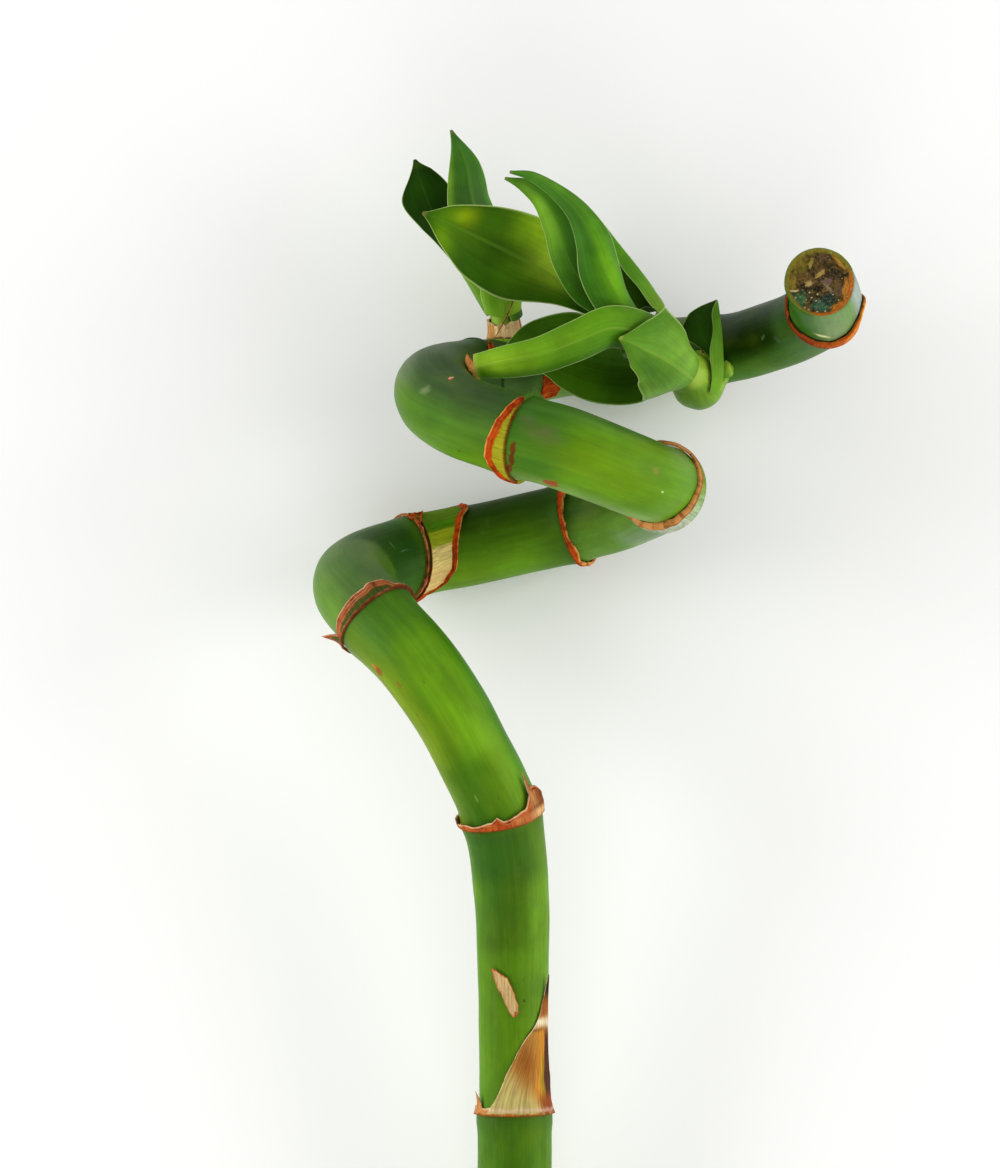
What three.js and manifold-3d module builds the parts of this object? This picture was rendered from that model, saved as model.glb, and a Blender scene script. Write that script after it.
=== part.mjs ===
import * as THREE from 'three';
import { mergeVertices } from 'three/addons/utils/BufferGeometryUtils.js';
import Module from 'manifold-3d';

// A stalk of lucky bamboo, trained into a spiral, cut at both ends, with two leafy side shoots.
// It lies on its back. Millimetres throughout.
// Every shape is drawn in the growing frame: X to the right, Y up the stalk from its foot,
// Z to the front. The group at the end lays the stalk down: +Z up, +Y from foot to tip.

const { Vector3, Matrix4, MathUtils } = THREE;
const FRONT = [0, 0, 1];
const UP = [0, 1, 0];

// Driving dimensions of the stalk.
const STALK_SIDES = 18;
const STALK_MEASURES = 1200; // divisions in which the length of the centreline is measured
const PLAIN_STEP = 7; // spacing of the rings between two nodes
const NODE_STEPS = [-5, -2.2, 0, 2.2, 5]; // rings close to a node
const NODE_SWELLING = 0.35; // how far a node stands out
const NODE_SWELLING_REACH = 2.6;

// Centreline of the stalk from its foot to the cut top: a straight lower length, then a spiral
// of about 36 mm pitch.
const STALK_ROUTE = [
  [0, 0, 0], [0, 43.6, 0], [-0.1, 71.2, 0], [-0.4, 93.6, 0], [-0.7, 113.7, 1],
  [-2.8, 130.6, 4], [-8.6, 143.7, 8], [-14.1, 153.8, 9.5], [-20.9, 162.9, 7], [-27.4, 169.6, 1],
  [-32.5, 175.6, -10], [-31.2, 179, -20], [-20.1, 182.6, -30], [-8.4, 184.9, -33],
  [8.2, 188.6, -32.5], [19, 191.2, -28], [26.2, 193.9, -20], [29.7, 196.2, -9], [26.9, 197.3, 3],
  [22.3, 198.8, 9.5], [8.2, 204, 15], [-0.6, 206.4, 12], [-13, 211.6, -1], [-16.3, 215.8, -11],
  [-13.2, 218.4, -24], [-4.7, 219.8, -34], [9.5, 223.2, -40], [26.1, 224.7, -41],
  [44.9, 225.8, -36], [52, 227.5, -31], [58.4, 229.8, -23], [62.9, 233, -10], [60.9, 237.1, 1],
  [60.2, 238.3, 4],
];
const CUT = { at: [60.9, 237.1, 1], facing: [-0.1, 0.2, 0.97] }; // the top, sawn a little askew

// Radius of the stalk against the distance along its centreline.
const STALK_GIRTH = [
  [0, 7.7], [60, 7.4], [69, 7.5], [74, 6.9], [94, 7], [114, 7.5], [131, 7.9], [146, 7.7],
  [180, 8.1], [220, 8.3], [270, 8.2], [290, 7.9], [315, 8.2], [365, 8.2], [390, 7.7], [440, 7],
  [484, 7.1],
];

// Nodes of the stalk, by their distance along the centreline.
const NODES = [15, 71, 131, 180, 219, 254, 288, 330, 384, 437, 472];

// Short stems of the side shoots and a small bud, each from inside the stalk. Knots are x, y, z,
// radius; steps is the number of rings along one.
const SIDE_STEMS = {
  rightShoot: {
    sides: 12,
    steps: 14,
    knots: [
      [40, 224, -36, 4.2], [38, 217.8, -31, 5.1], [36, 220.1, -26, 4.6],
      [31.9, 223.3, -20.5, 2.7], [27.5, 226.6, -16.5, 1.9], [23.2, 229.7, -14, 1.3],
      [19.7, 232.3, -13, 0.8],
    ],
  },
  leftShoot: {
    sides: 12,
    steps: 9,
    knots: [
      [-2.4, 219, -35, 3.4], [-2, 224.8, -35, 3.3], [-2, 229.4, -36, 3], [-3, 234.6, -35, 1.9],
      [-4.7, 239.3, -34, 1],
    ],
  },
  bud: {
    sides: 7,
    steps: 6,
    knots: [
      [43.6, 222, -31, 0.8], [43.7, 220.2, -29, 1.1], [43.6, 221.6, -28, 0.8],
      [43.5, 222.8, -28.2, 0.3],
    ],
  },
};

// Dried sheath remnants.
const SHEATH_GAP = 0.3;
const SHEATH_THICKNESS = 0.6;
const SHEATH_ROWS = 2;
const SHEATH_COLUMNS = 24;
const COLUMN_SPACING = 3; // least angle in degrees between two columns
const GROWN_THROUGH_GAP = 0.4; // between a remnant and a stem that grows through it
const SURFACE_GAP = 0.35; // remnants stay this far above the surface that the stalk lies on

// Leaves.
const LEAF_THICKNESS = 0.7;
const LEAF_STEPS = 13;
const LEAF_HALF_STEPS = 3;
const LEAST_HALF_WIDTH = 0.25;
const FOLD_ROUNDING = 0.12; // share of a half blade over which a fold turns

// How the stalk lies: turned back about X, rolled about Y, then set down on three low points.
const LIE_TILT = MathUtils.degToRad(10.37);
const LIE_ROLL = MathUtils.degToRad(0.29);
const LIE_SHIFT = [-15.19, -135.04, 7.32];
const GROUND = [400, 600, 40]; // block taken away below the surface

const GREEN = { stalk: 0x4f8a2a, leaf: 0x4f9124, light: 0x77b02f, dark: 0x2f6417 };
const DRIED = { rust: 0xa4522a, tan: 0xc79a66 };
const ROUGHNESS = { cane: 0.4, sheath: 0.8, leaf: 0.45 };

const wasm = await Module();
wasm.setup();

// Value at t (0 to 1) on a smooth line through evenly spaced numbers.
function smoothValue(values, t) {
  const place = t * (values.length - 1);
  const i = Math.min(Math.floor(place), values.length - 2);
  const f = place - i;
  const get = (k) => values[MathUtils.clamp(k, 0, values.length - 1)];
  const slopeIn = (get(i + 1) - get(i - 1)) / 2;
  const slopeOut = (get(i + 2) - get(i)) / 2;
  const rise = get(i + 1) - get(i);
  return get(i) + f * slopeIn + f * f * (3 * rise - 2 * slopeIn - slopeOut)
    + f * f * f * (slopeIn + slopeOut - 2 * rise);
}

// Value at x on straight lines between the [x, value] pairs.
function pairedValue(pairs, x) {
  const next = pairs.findIndex(([at]) => at > x);
  const i = next < 0 ? pairs.length - 1 : Math.max(next, 1);
  const [x0, v0] = pairs[i - 1];
  const [x1, v1] = pairs[i];
  return MathUtils.mapLinear(MathUtils.clamp(x, x0, x1), x0, x1, v0, v1);
}

function closedGeometry(points, faces) {
  const places = points.flatMap((point) => point.toArray());
  const geometry = new THREE.BufferGeometry();
  geometry.setAttribute('position', new THREE.Float32BufferAttribute(places, 3));
  geometry.setIndex(faces.flat());
  return geometry;
}

// Closes a stack of rings of equal size into one body, with a flat fan on each end.
function closeRings(rings, firstCentre, lastCentre) {
  const sides = rings[0].length;
  const points = [...rings.flat(), firstCentre, lastCentre];
  const first = points.length - 2;
  const last = points.length - 1;
  const top = (rings.length - 1) * sides;
  const faces = [];
  for (let i = 0; i < sides; i += 1) {
    const j = (i + 1) % sides;
    for (let a = 0; a < top; a += sides) {
      const b = a + sides;
      faces.push([a + i, a + j, b + j], [a + i, b + j, b + i]);
    }
    faces.push([first, j, i], [last, top + i, top + j]);
  }
  return closedGeometry(points, faces);
}

// A round side stem through [x, y, z, radius] knots.
function makeStem({ knots, sides, steps }) {
  const curve = new THREE.CatmullRomCurve3(knots.map(([x, y, z]) => new Vector3(x, y, z)));
  const length = curve.getLength();
  const radii = knots.map(([, , , radius]) => radius);
  const radiusAt = (along) => smoothValue(radii, curve.getUtoTmapping(along / length));
  const stations = Array.from({ length: steps + 1 }, (_, k) => (length * k) / steps);
  return { curve, length, radiusAt, sides, stations };
}

// Rings of the stalk: close together at the nodes and wide apart between them.
function stalkStations(length) {
  const atNodes = NODES.flatMap((node) => NODE_STEPS.map((step) => node + step));
  const stops = [0, ...atNodes, length];
  const stations = [0];
  for (let i = 1; i < stops.length; i += 1) {
    const pieces = Math.max(1, Math.round((stops[i] - stops[i - 1]) / PLAIN_STEP));
    for (let k = 1; k <= pieces; k += 1) {
      stations.push(MathUtils.lerp(stops[i - 1], stops[i], k / pieces));
    }
  }
  return stations;
}

function makeStalk() {
  const curve = new THREE.CatmullRomCurve3(STALK_ROUTE.map((p) => new Vector3(...p)));
  curve.arcLengthDivisions = STALK_MEASURES;
  const length = curve.getLength();
  const swelling = (away) => NODE_SWELLING * Math.exp(-((away / NODE_SWELLING_REACH) ** 2));
  const radiusAt = (along) => NODES.reduce(
    (sum, node) => sum + swelling(along - node),
    pairedValue(STALK_GIRTH, along),
  );
  return { curve, length, radiusAt, sides: STALK_SIDES, stations: stalkStations(length) };
}

const STALK = makeStalk();
const RIGHT_SHOOT = makeStem(SIDE_STEMS.rightShoot);
const LEFT_SHOOT = makeStem(SIDE_STEMS.leftShoot);
const BUD = makeStem(SIDE_STEMS.bud);

// Centre and directions of a stem at a distance along it; side turns as near as it can to the
// given direction.
function frameOn({ curve, length }, along, towards) {
  const u = MathUtils.clamp(along / length, 0, 1);
  const centre = curve.getPointAt(u);
  const tangent = curve.getTangentAt(u);
  const side = towards.clone().addScaledVector(tangent, -towards.dot(tangent)).normalize();
  return { centre, tangent, side, across: new Vector3().crossVectors(tangent, side) };
}

// A solid round body along a stem, with a ring at each station. Each ring carries its side
// direction on from the ring before, so the skin doesn't twist.
function stemGeometry(stem, extra = 0) {
  const startsForward = Math.abs(stem.curve.getTangentAt(0).z) > 0.9;
  let towards = startsForward ? new Vector3(1, 0, 0) : new Vector3(0, 0, 1);
  const rings = stem.stations.map((along) => {
    const { centre, side, across } = frameOn(stem, along, towards);
    towards = side;
    const radius = stem.radiusAt(along) + extra;
    return Array.from({ length: stem.sides }, (_, i) => {
      const angle = (2 * Math.PI * i) / stem.sides;
      return centre.clone()
        .addScaledVector(side, radius * Math.cos(angle))
        .addScaledVector(across, radius * Math.sin(angle));
    });
  });
  return closeRings(rings, stem.curve.getPointAt(0), stem.curve.getPointAt(1));
}

// Angles in degrees of a remnant's columns: evenly round, with more at its lobes and corners.
function remnantColumns(lobes, corners) {
  const even = Array.from({ length: SHEATH_COLUMNS }, (_, i) => (360 * i) / SHEATH_COLUMNS);
  const atLobes = lobes.flatMap(([at, before, after]) => (
    [at - before, at - before / 2, at, at + after / 2, at + after]));
  const turns = [...atLobes, ...corners, ...even]
    .map((turn) => MathUtils.euclideanModulo(Math.round(turn), 360));
  return [...new Set(turns)].sort((a, b) => a - b)
    .filter((turn, i, all) => i === 0 || turn - all[i - 1] > COLUMN_SPACING);
}

// A dried sheath remnant: a thin ragged ring round a node. Its lower edge follows the node, and
// its upper edge rises by its heights, [angle, height] pairs from -180 to 180 degrees, plus the
// lobes, each [angle, width before, width after, rise] in degrees and mm. Angle 0 faces the given
// direction and angles grow to its right.
function remnantGeometry({
  on = STALK, node, towards, heights, lobes = [], slant = 0, slantAt = 0, ragged = 0.4,
}) {
  const facing = new Vector3(...towards);
  const columns = remnantColumns(lobes, heights.map(([at]) => at));
  const lobeRise = (turn) => lobes.reduce((sum, [at, before, after, rise]) => {
    const away = MathUtils.euclideanModulo(turn - at + 180, 360) - 180;
    return sum + rise * Math.max(0, 1 - (away < 0 ? -away / before : away / after));
  }, 0);
  const skinPoint = (turn, share, outward) => {
    const angle = MathUtils.degToRad(turn);
    const height = pairedValue(heights, turn > 180 ? turn - 360 : turn);
    const foot = node + slant * Math.cos(angle - MathUtils.degToRad(slantAt));
    const ripple = ragged * (Math.sin(5 * angle + node) + Math.sin(9 * angle + 2 * node)) / 2;
    const along = foot + share * (height + ripple + lobeRise(turn));
    const { centre, side, across } = frameOn(on, along, facing);
    const out = on.radiusAt(Math.min(along, foot + height)) + SHEATH_GAP + outward;
    return centre.clone()
      .addScaledVector(side, out * Math.cos(angle))
      .addScaledVector(across, out * Math.sin(angle));
  };
  const layer = (row, outward) => columns.map((turn) => skinPoint(turn, row / SHEATH_ROWS, outward));
  const rows = Array.from({ length: SHEATH_ROWS + 1 }, (_, row) => row);
  const inner = rows.map((row) => layer(row, 0));
  const outer = rows.map((row) => layer(row, SHEATH_THICKNESS)).reverse();
  const layers = [...inner, ...outer];
  const count = columns.length;
  const faces = [];
  layers.forEach((_, k) => {
    const a = k * count;
    const b = ((k + 1) % layers.length) * count;
    for (let i = 0; i < count; i += 1) {
      const j = (i + 1) % count;
      faces.push([a + i, b + j, a + j], [a + i, b + i, b + j]);
    }
  });
  return closedGeometry(layers.flat(), faces);
}

// One half of a leaf's cross-section: distance across and height at each step from the midrib,
// with the slope there.
function halfSection(width, fold, curl) {
  const fine = 8; // measures of the slope in each step
  const count = LEAF_HALF_STEPS * fine;
  const section = [[0, 0, 0]];
  let across = 0;
  let up = 0;
  for (let i = 1; i <= count; i += 1) {
    const t = (i - 0.5) / count;
    const slope = fold * (1 - Math.exp(-t / FOLD_ROUNDING)) + curl * t;
    across += (width * Math.cos(slope)) / count;
    up += (width * Math.sin(slope)) / count;
    if (i % fine === 0) section.push([across, up, slope]);
  }
  return section;
}

// A blade of even thickness about its midrib. Each knot is x, y, z, left width, right width,
// curl, fold; face holds the directions that the hollow side looks to, from base to tip.
function leafGeometry({ knots, face }) {
  const midrib = new THREE.CatmullRomCurve3(knots.map(([x, y, z]) => new Vector3(x, y, z)));
  const knotValue = (i, t) => smoothValue(knots.map((knot) => knot[i]), t);
  const faceValue = (axis, t) => smoothValue(face.map((direction) => direction[axis]), t);
  const span = 2 * LEAF_HALF_STEPS + 1;
  const upper = [];
  const lower = [];
  for (let k = 0; k <= LEAF_STEPS; k += 1) {
    const t = k / LEAF_STEPS;
    const centre = midrib.getPoint(t);
    const tangent = midrib.getTangent(t);
    const facing = new Vector3(faceValue(0, t), faceValue(1, t), faceValue(2, t));
    const normal = facing.addScaledVector(tangent, -facing.dot(tangent)).normalize();
    const right = new Vector3().crossVectors(tangent, normal);
    const [leftWidth, rightWidth] = [3, 4].map((i) => Math.max(LEAST_HALF_WIDTH, knotValue(i, t)));
    const [curl, fold] = [knotValue(5, t), knotValue(6, t)];
    const leftHalf = halfSection(leftWidth, fold, curl);
    const rightHalf = halfSection(rightWidth, fold, curl);
    for (let v = -LEAF_HALF_STEPS; v <= LEAF_HALF_STEPS; v += 1) {
      const hand = Math.sign(v);
      const [across, up, slope] = (v < 0 ? leftHalf : rightHalf)[Math.abs(v)];
      const middle = centre.clone().addScaledVector(right, hand * across).addScaledVector(normal, up);
      const out = normal.clone().multiplyScalar(Math.cos(slope))
        .addScaledVector(right, -hand * Math.sin(slope)).multiplyScalar(LEAF_THICKNESS / 2);
      upper.push(middle.clone().add(out));
      lower.push(middle.clone().sub(out));
    }
  }
  const under = upper.length;
  const tip = LEAF_STEPS * span;
  const faces = [];
  const quad = (a, b, c, d) => faces.push([a, b, c], [a, c, d]);
  for (let v = 0; v < span - 1; v += 1) {
    for (let k = 0; k < LEAF_STEPS; k += 1) {
      const a = k * span + v;
      const b = a + span;
      quad(a, a + 1, b + 1, b);
      faces.push([under + a, under + b + 1, under + a + 1], [under + a, under + b, under + b + 1]);
    }
    quad(under + v, under + v + 1, v + 1, v);
    quad(tip + v, tip + v + 1, under + tip + v + 1, under + tip + v);
  }
  for (let left = 0; left < tip; left += span) {
    const right = left + span - 1;
    quad(under + left, left, left + span, under + left + span);
    quad(right, under + right, under + right + span, right + span);
  }
  return closedGeometry([...upper, ...lower], faces);
}

function toSolid(geometry) {
  const bare = geometry.clone();
  bare.deleteAttribute('normal');
  bare.deleteAttribute('uv');
  const merged = mergeVertices(bare, 1e-4);
  return new wasm.Manifold(new wasm.Mesh({
    numProp: 3,
    vertProperties: new Float32Array(merged.getAttribute('position').array),
    triVerts: new Uint32Array(merged.index.array),
  }));
}

function toGeometry(solid) {
  const mesh = solid.getMesh();
  const geometry = new THREE.BufferGeometry();
  geometry.setAttribute('position', new THREE.BufferAttribute(mesh.vertProperties, 3));
  geometry.setIndex(new THREE.BufferAttribute(mesh.triVerts, 1));
  return geometry;
}

// Growing frame to lying frame.
const layDown = new Matrix4().makeTranslation(...LIE_SHIFT)
  .multiply(new Matrix4().makeRotationY(LIE_ROLL))
  .multiply(new Matrix4().makeRotationX(LIE_TILT));

// Everything lower than the given height above the surface that the stalk lies on.
function groundBlock(height) {
  const [width, length, depth] = GROUND;
  return new THREE.BoxGeometry(width, length, depth).translate(0, 0, height - depth / 2)
    .applyMatrix4(layDown.clone().invert());
}

// Cuts a remnant clear of the surface and of the stems that grow through it, and drops scraps.
function trimRemnant(geometry, stems) {
  const cutters = stems.map((stem) => stemGeometry(stem, GROWN_THROUGH_GAP));
  const cut = [...cutters, groundBlock(SURFACE_GAP)].reduce(
    (solid, cutter) => solid.subtract(toSolid(cutter)),
    toSolid(geometry),
  );
  const largest = cut.decompose().sort((a, b) => b.volume() - a.volume())[0];
  return toGeometry(largest);
}

// A block whose near face is the cut at the top of the stalk.
function cutBlock() {
  const size = 40;
  const facing = new Vector3(...CUT.facing).normalize();
  const turn = new THREE.Quaternion().setFromUnitVectors(new Vector3(...FRONT), facing);
  return new THREE.BoxGeometry(size, size, size).translate(0, 0, size / 2)
    .applyQuaternion(turn).translate(...CUT.at);
}

// The stalk with its shoot stems and bud, trimmed to small flats where it touches the surface.
function caneGeometry() {
  const grown = [RIGHT_SHOOT, LEFT_SHOOT, BUD].reduce(
    (solid, stem) => solid.add(toSolid(stemGeometry(stem))),
    toSolid(stemGeometry(STALK)),
  );
  return toGeometry(grown.subtract(toSolid(cutBlock())).subtract(toSolid(groundBlock(0))));
}

const REMNANTS = [
  { node: 15, towards: FRONT, heights: [[0, 1.6], [1, 1.6]] },
  {
    node: 71,
    towards: FRONT,
    heights: [[0, 1.4], [1, 1.4]],
    lobes: [[65, 95, 40, 24], [-68, 9, 9, 3]],
    tan: true,
  },
  {
    node: 131,
    towards: FRONT,
    heights: [[0, 1.6], [1, 1.6]],
    lobes: [[62, 60, 40, 4], [44, 12, 6, 5]],
  },
  {
    node: 180.3,
    towards: FRONT,
    heights: [[-100, 1.2], [-80, 1.6], [-55, 3], [-20, 2.8], [35, 3.2], [46, 3], [54, 1.2]],
    slant: 2.1,
    slantAt: 190,
    lobes: [[-75, 11, 11, 4]],
  },
  { node: 216.4, towards: UP, heights: [[0, 1.2], [1, 1.2]], slant: 2, ragged: 0.3 },
  {
    node: 218.5,
    towards: UP,
    heights: [
      [-60, 1.4], [-35, 6], [-10, 12], [18, 12.6], [53, 10.8], [78, 9.6], [119, 9], [135, 7.4],
      [146, 1.4],
    ],
    slant: 2,
    ragged: 0.3,
  },
  { node: 254, towards: UP, heights: [[0, 1.5], [1, 1.5]] },
  {
    node: 288,
    towards: UP,
    heights: [
      [-180, 3.6], [-159, 4], [-135, 2.4], [-116, 1.5], [-100, 2.4], [-84, 4], [-63, 7.5],
      [-36, 9], [0, 4], [20, 1.5], [150, 1.5], [180, 3.6],
    ],
    ragged: 0.2,
  },
  {
    node: 328.3,
    towards: FRONT,
    heights: [[-100, 1.2], [-72, 2.4], [-43, 3.9], [-25, 3], [0, 2.2], [26, 1.7], [64, 1.2]],
    ragged: 0.2,
  },
  { node: 384, towards: UP, heights: [[0, 1.8], [1, 1.8]] },
  {
    node: 437,
    towards: UP,
    heights: [[0, 1.3], [1, 1.3]],
    grownThrough: [RIGHT_SHOOT, BUD],
  },
  {
    node: 471.4,
    towards: UP,
    heights: [
      [-180, 2], [-150, 3.2], [-120, 5.6], [-95, 7], [-80, 4.5], [-60, 1.6], [108, 1.5], [180, 2],
    ],
    ragged: 0.3,
  },
  {
    on: LEFT_SHOOT,
    node: 10,
    towards: FRONT,
    heights: [[0, 2.2], [1, 2.2]],
    slant: 0.9,
    slantAt: 180,
    ragged: 0.3,
    tan: true,
  },
];

// Leaves of the right shoot, from the outermost to the innermost, then those of the left shoot.
const LEAVES = {
  right_leaf_front_sheath: {
    colour: GREEN.light,
    face: [[-0.42, 0.34, -0.84], [-0.25, 0.25, -1], [-0.1, 0.1, -1]],
    knots: [
      [36.3, 218.6, -20.4, 4.6, 4.6, 0.8, 0], [34.7, 219.7, -16.2, 5.4, 8.6, 0.8, 0],
      [32.4, 221, -12, 7, 11.2, 0.65, 0], [29.6, 222.5, -8.6, 8.8, 8, 0.6, 0],
      [27.1, 223.5, -6.4, 9.8, 5.9, 0.5, 0], [25.1, 224.5, -4.9, 6.2, 4.1, 0.4, 0],
      [20.9, 226.2, -3.6, 0.3, 0.3, 0.3, 0],
    ],
  },
  right_leaf_folded_bract: {
    colour: GREEN.dark,
    face: [[-0.97, 0, 0.24], [-0.97, 0, 0.24]],
    knots: [
      [41.6, 215.8, -26, 0.6, 2.4, 0.2, 1.1], [42.5, 219.6, -25, 0.7, 3.2, 0.2, 1.1],
      [42.4, 224.4, -24.8, 3.6, 3.2, 0.2, 1.1], [42.1, 228.8, -24.6, 8.2, 2.6, 0.2, 1.1],
      [41.6, 232.4, -23.6, 6.8, 1.7, 0.2, 1.1], [41.4, 233.9, -23.3, 4, 0.9, 0.2, 1],
      [41.2, 234.9, -23, 0.3, 0.3, 0.1, 0.6],
    ],
  },
  right_leaf_back: {
    colour: GREEN.dark,
    face: [[0.42, -0.34, 0.84], [0.1, -0.1, 1], [0, 0, 1]],
    knots: [
      [28.4, 224.6, -24.6, 4.2, 4.2, 1.1, 0], [24.6, 222, -27.2, 8.4, 8, 1.1, 0],
      [17.5, 222.4, -27.2, 9.4, 10, 0.95, 0], [9.3, 224.2, -24, 7.6, 9.8, 0.8, 0],
      [4.8, 224.6, -21, 5, 7.8, 0.7, 0], [1.4, 224.7, -18.4, 3, 5.2, 0.6, 0],
      [-2.6, 224.3, -15, 0.3, 0.3, 0.3, 0],
    ],
  },
  right_leaf_low_trough: {
    colour: GREEN.light,
    face: [[-0.42, 0.34, -0.84], [-0.1, 0.1, -1], [0, 0, -1]],
    knots: [
      [33.2, 222.2, -15.4, 5.4, 5.4, 1.2, 0], [26.9, 226.6, -8.4, 5.2, 5.2, 1, 0],
      [19.5, 228.2, -3.6, 4.8, 5, 0.9, 0], [12.6, 225.5, -1.2, 4.5, 4.7, 0.9, 0],
      [5, 222.6, 0, 4.1, 4.3, 0.9, 0], [-2.4, 221.2, -0.8, 3.6, 3.6, 0.8, 0],
      [-8.2, 220.2, -2.6, 2.9, 2.4, 0.7, 0],
    ],
  },
  right_leaf_folded_tall: {
    colour: GREEN.light,
    face: [[-0.3, -0.8, 0.55], [-0.8, -0.5, 0.15], [-0.8, -0.6, 0]],
    knots: [
      [28.4, 229.3, -18.4, 4, 4, 1.1, 0], [30.4, 232.2, -18.6, 6, 3.3, 0.3, 1],
      [28, 236.6, -16.9, 6, 3.3, 0.2, 1.1], [24.9, 240.7, -15.4, 5.5, 3.2, 0.2, 1.1],
      [20.6, 245.9, -13.9, 4.4, 1.4, 0.2, 1.1], [16.8, 250.7, -13, 2.6, 0.4, 0.2, 1.1],
      [14.2, 253.6, -13, 0.3, 0.3, 0.1, 0.8],
    ],
  },
  right_leaf_upper_front: {
    colour: GREEN.stalk,
    face: [[-0.42, 0.34, -0.84], [0, 0.1, -1], [0.1, 0, -1]],
    knots: [
      [26.4, 226.2, -11.6, 3.2, 4, 1.3, 0], [21.2, 233.6, -6.8, 3.2, 5.6, 1.1, 0],
      [17.7, 239.9, -4.2, 4.3, 5.3, 0.9, 0], [15.7, 245.8, -3.7, 4, 4, 0.8, 0],
      [12.6, 251.6, -5, 2.6, 2.6, 0.7, 0], [7.7, 256.4, -8, 1.6, 1.6, 0.6, 0],
      [3.1, 259.3, -10.5, 1, 1, 0.4, 0], [-1, 260.2, -12, 0.3, 0.3, 0.3, 0],
    ],
  },
  right_leaf_broad: {
    colour: GREEN.leaf,
    face: [[0.42, -0.34, 0.84], [0.1, -0.1, 1], [0, 0, 1]],
    knots: [
      [21.2, 231.6, -14.9, 2.6, 2.6, 1.2, 0], [15.3, 234.2, -18.2, 3, 5.5, 0.8, 0],
      [9.2, 238.5, -18.5, 5.6, 8.8, 0.5, 0], [1.1, 243.1, -17, 9.4, 9.4, 0.4, 0],
      [-7.1, 247, -14.5, 8.6, 7.4, 0.35, 0], [-13.5, 249.9, -12, 4.8, 4, 0.3, 0],
      [-18.6, 251.8, -10.5, 0.3, 0.3, 0.2, 0],
    ],
  },
  right_leaf_upper_inner: {
    colour: GREEN.stalk,
    face: [[-0.42, 0.34, -0.84], [0, 0.1, -1], [0.1, 0, -1]],
    knots: [
      [20.1, 231.4, -11.4, 2.4, 2.4, 1.2, 0], [14.8, 236, -10.4, 4.4, 3.8, 1, 0],
      [10.9, 242.1, -9, 4.4, 3.6, 0.8, 0], [8.9, 248.7, -9, 4, 3.4, 0.7, 0],
      [5.9, 254.3, -10.2, 2.8, 2.6, 0.6, 0], [1.9, 257.5, -12, 1.5, 1.4, 0.4, 0],
      [-2, 259, -12.9, 0.3, 0.3, 0.3, 0],
    ],
  },
  left_leaf_front_sheath: {
    colour: GREEN.light,
    face: [[0, 0, -1], [-0.1, 0, -1]],
    knots: [
      [-2.2, 232, -31.2, 4.4, 4.4, 1, 0], [-2.6, 235.5, -28.8, 4.6, 4.6, 0.8, 0],
      [-3.6, 240, -26.6, 3.4, 3.4, 0.6, 0], [-5, 244, -25, 0.3, 0.3, 0.4, 0],
    ],
  },
  left_leaf_upright: {
    colour: GREEN.leaf,
    face: [[-1, 0, 0], [-0.7, 0, -0.7], [-0.3, 0, -1]],
    knots: [
      [1.5, 232.6, -35.7, 4, 4, 1.15, 0], [-0.3, 238.4, -33.1, 4.8, 4.8, 0.95, 0],
      [-4.8, 246.4, -30, 6.2, 6.2, 0.6, 0], [-8.6, 254.9, -28.2, 6, 5.8, 0.45, 0],
      [-10.2, 263.5, -28.4, 3.4, 3.4, 0.35, 0], [-13.1, 270.3, -30, 0.3, 0.3, 0.2, 0],
    ],
  },
  left_leaf_outer: {
    colour: GREEN.dark,
    face: [[1, 0, 0], [0.5, 0.1, 0.8], [0.1, -0.2, 1]],
    knots: [
      [-5.6, 232.4, -35.7, 4, 4, 1.25, 0], [-8.8, 238, -36, 4.6, 4.8, 1, 0],
      [-13.2, 246.5, -35.8, 4.8, 6, 0.7, 0], [-16.6, 252.8, -35, 5.3, 5.6, 0.5, 0],
      [-18.6, 257.8, -34, 6, 5.2, 0.35, 0], [-20, 261.8, -33, 1.8, 3, 0.3, 0],
      [-20.6, 264.4, -32, 0.3, 0.3, 0.2, 0],
    ],
  },
};

function remnantPieces() {
  return REMNANTS.map((remnant, i) => ({
    name: `sheath_remnant_${String(i + 1).padStart(2, '0')}`,
    geometry: trimRemnant(remnantGeometry(remnant), remnant.grownThrough ?? []),
    color: remnant.tan ? DRIED.tan : DRIED.rust,
    roughness: ROUGHNESS.sheath,
  }));
}

function leafPieces() {
  return Object.entries(LEAVES).map(([name, leaf]) => ({
    name,
    geometry: leafGeometry(leaf),
    color: leaf.colour,
    roughness: ROUGHNESS.leaf,
  }));
}

const stalk = new THREE.Group();
const pieces = [
  { name: 'cane', geometry: caneGeometry(), color: GREEN.stalk, roughness: ROUGHNESS.cane },
  ...remnantPieces(),
  ...leafPieces(),
];
for (const { name, geometry, color, roughness } of pieces) {
  geometry.computeVertexNormals();
  const material = new THREE.MeshStandardMaterial({ color, roughness, metalness: 0 });
  const mesh = new THREE.Mesh(geometry, material);
  mesh.name = name;
  stalk.add(mesh);
}
stalk.applyMatrix4(layDown);

const luckyBamboo = new THREE.Group();
luckyBamboo.add(stalk);

export default luckyBamboo;
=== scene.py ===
import math

import bpy
import numpy as np
from mathutils import Matrix, Vector, noise


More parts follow.
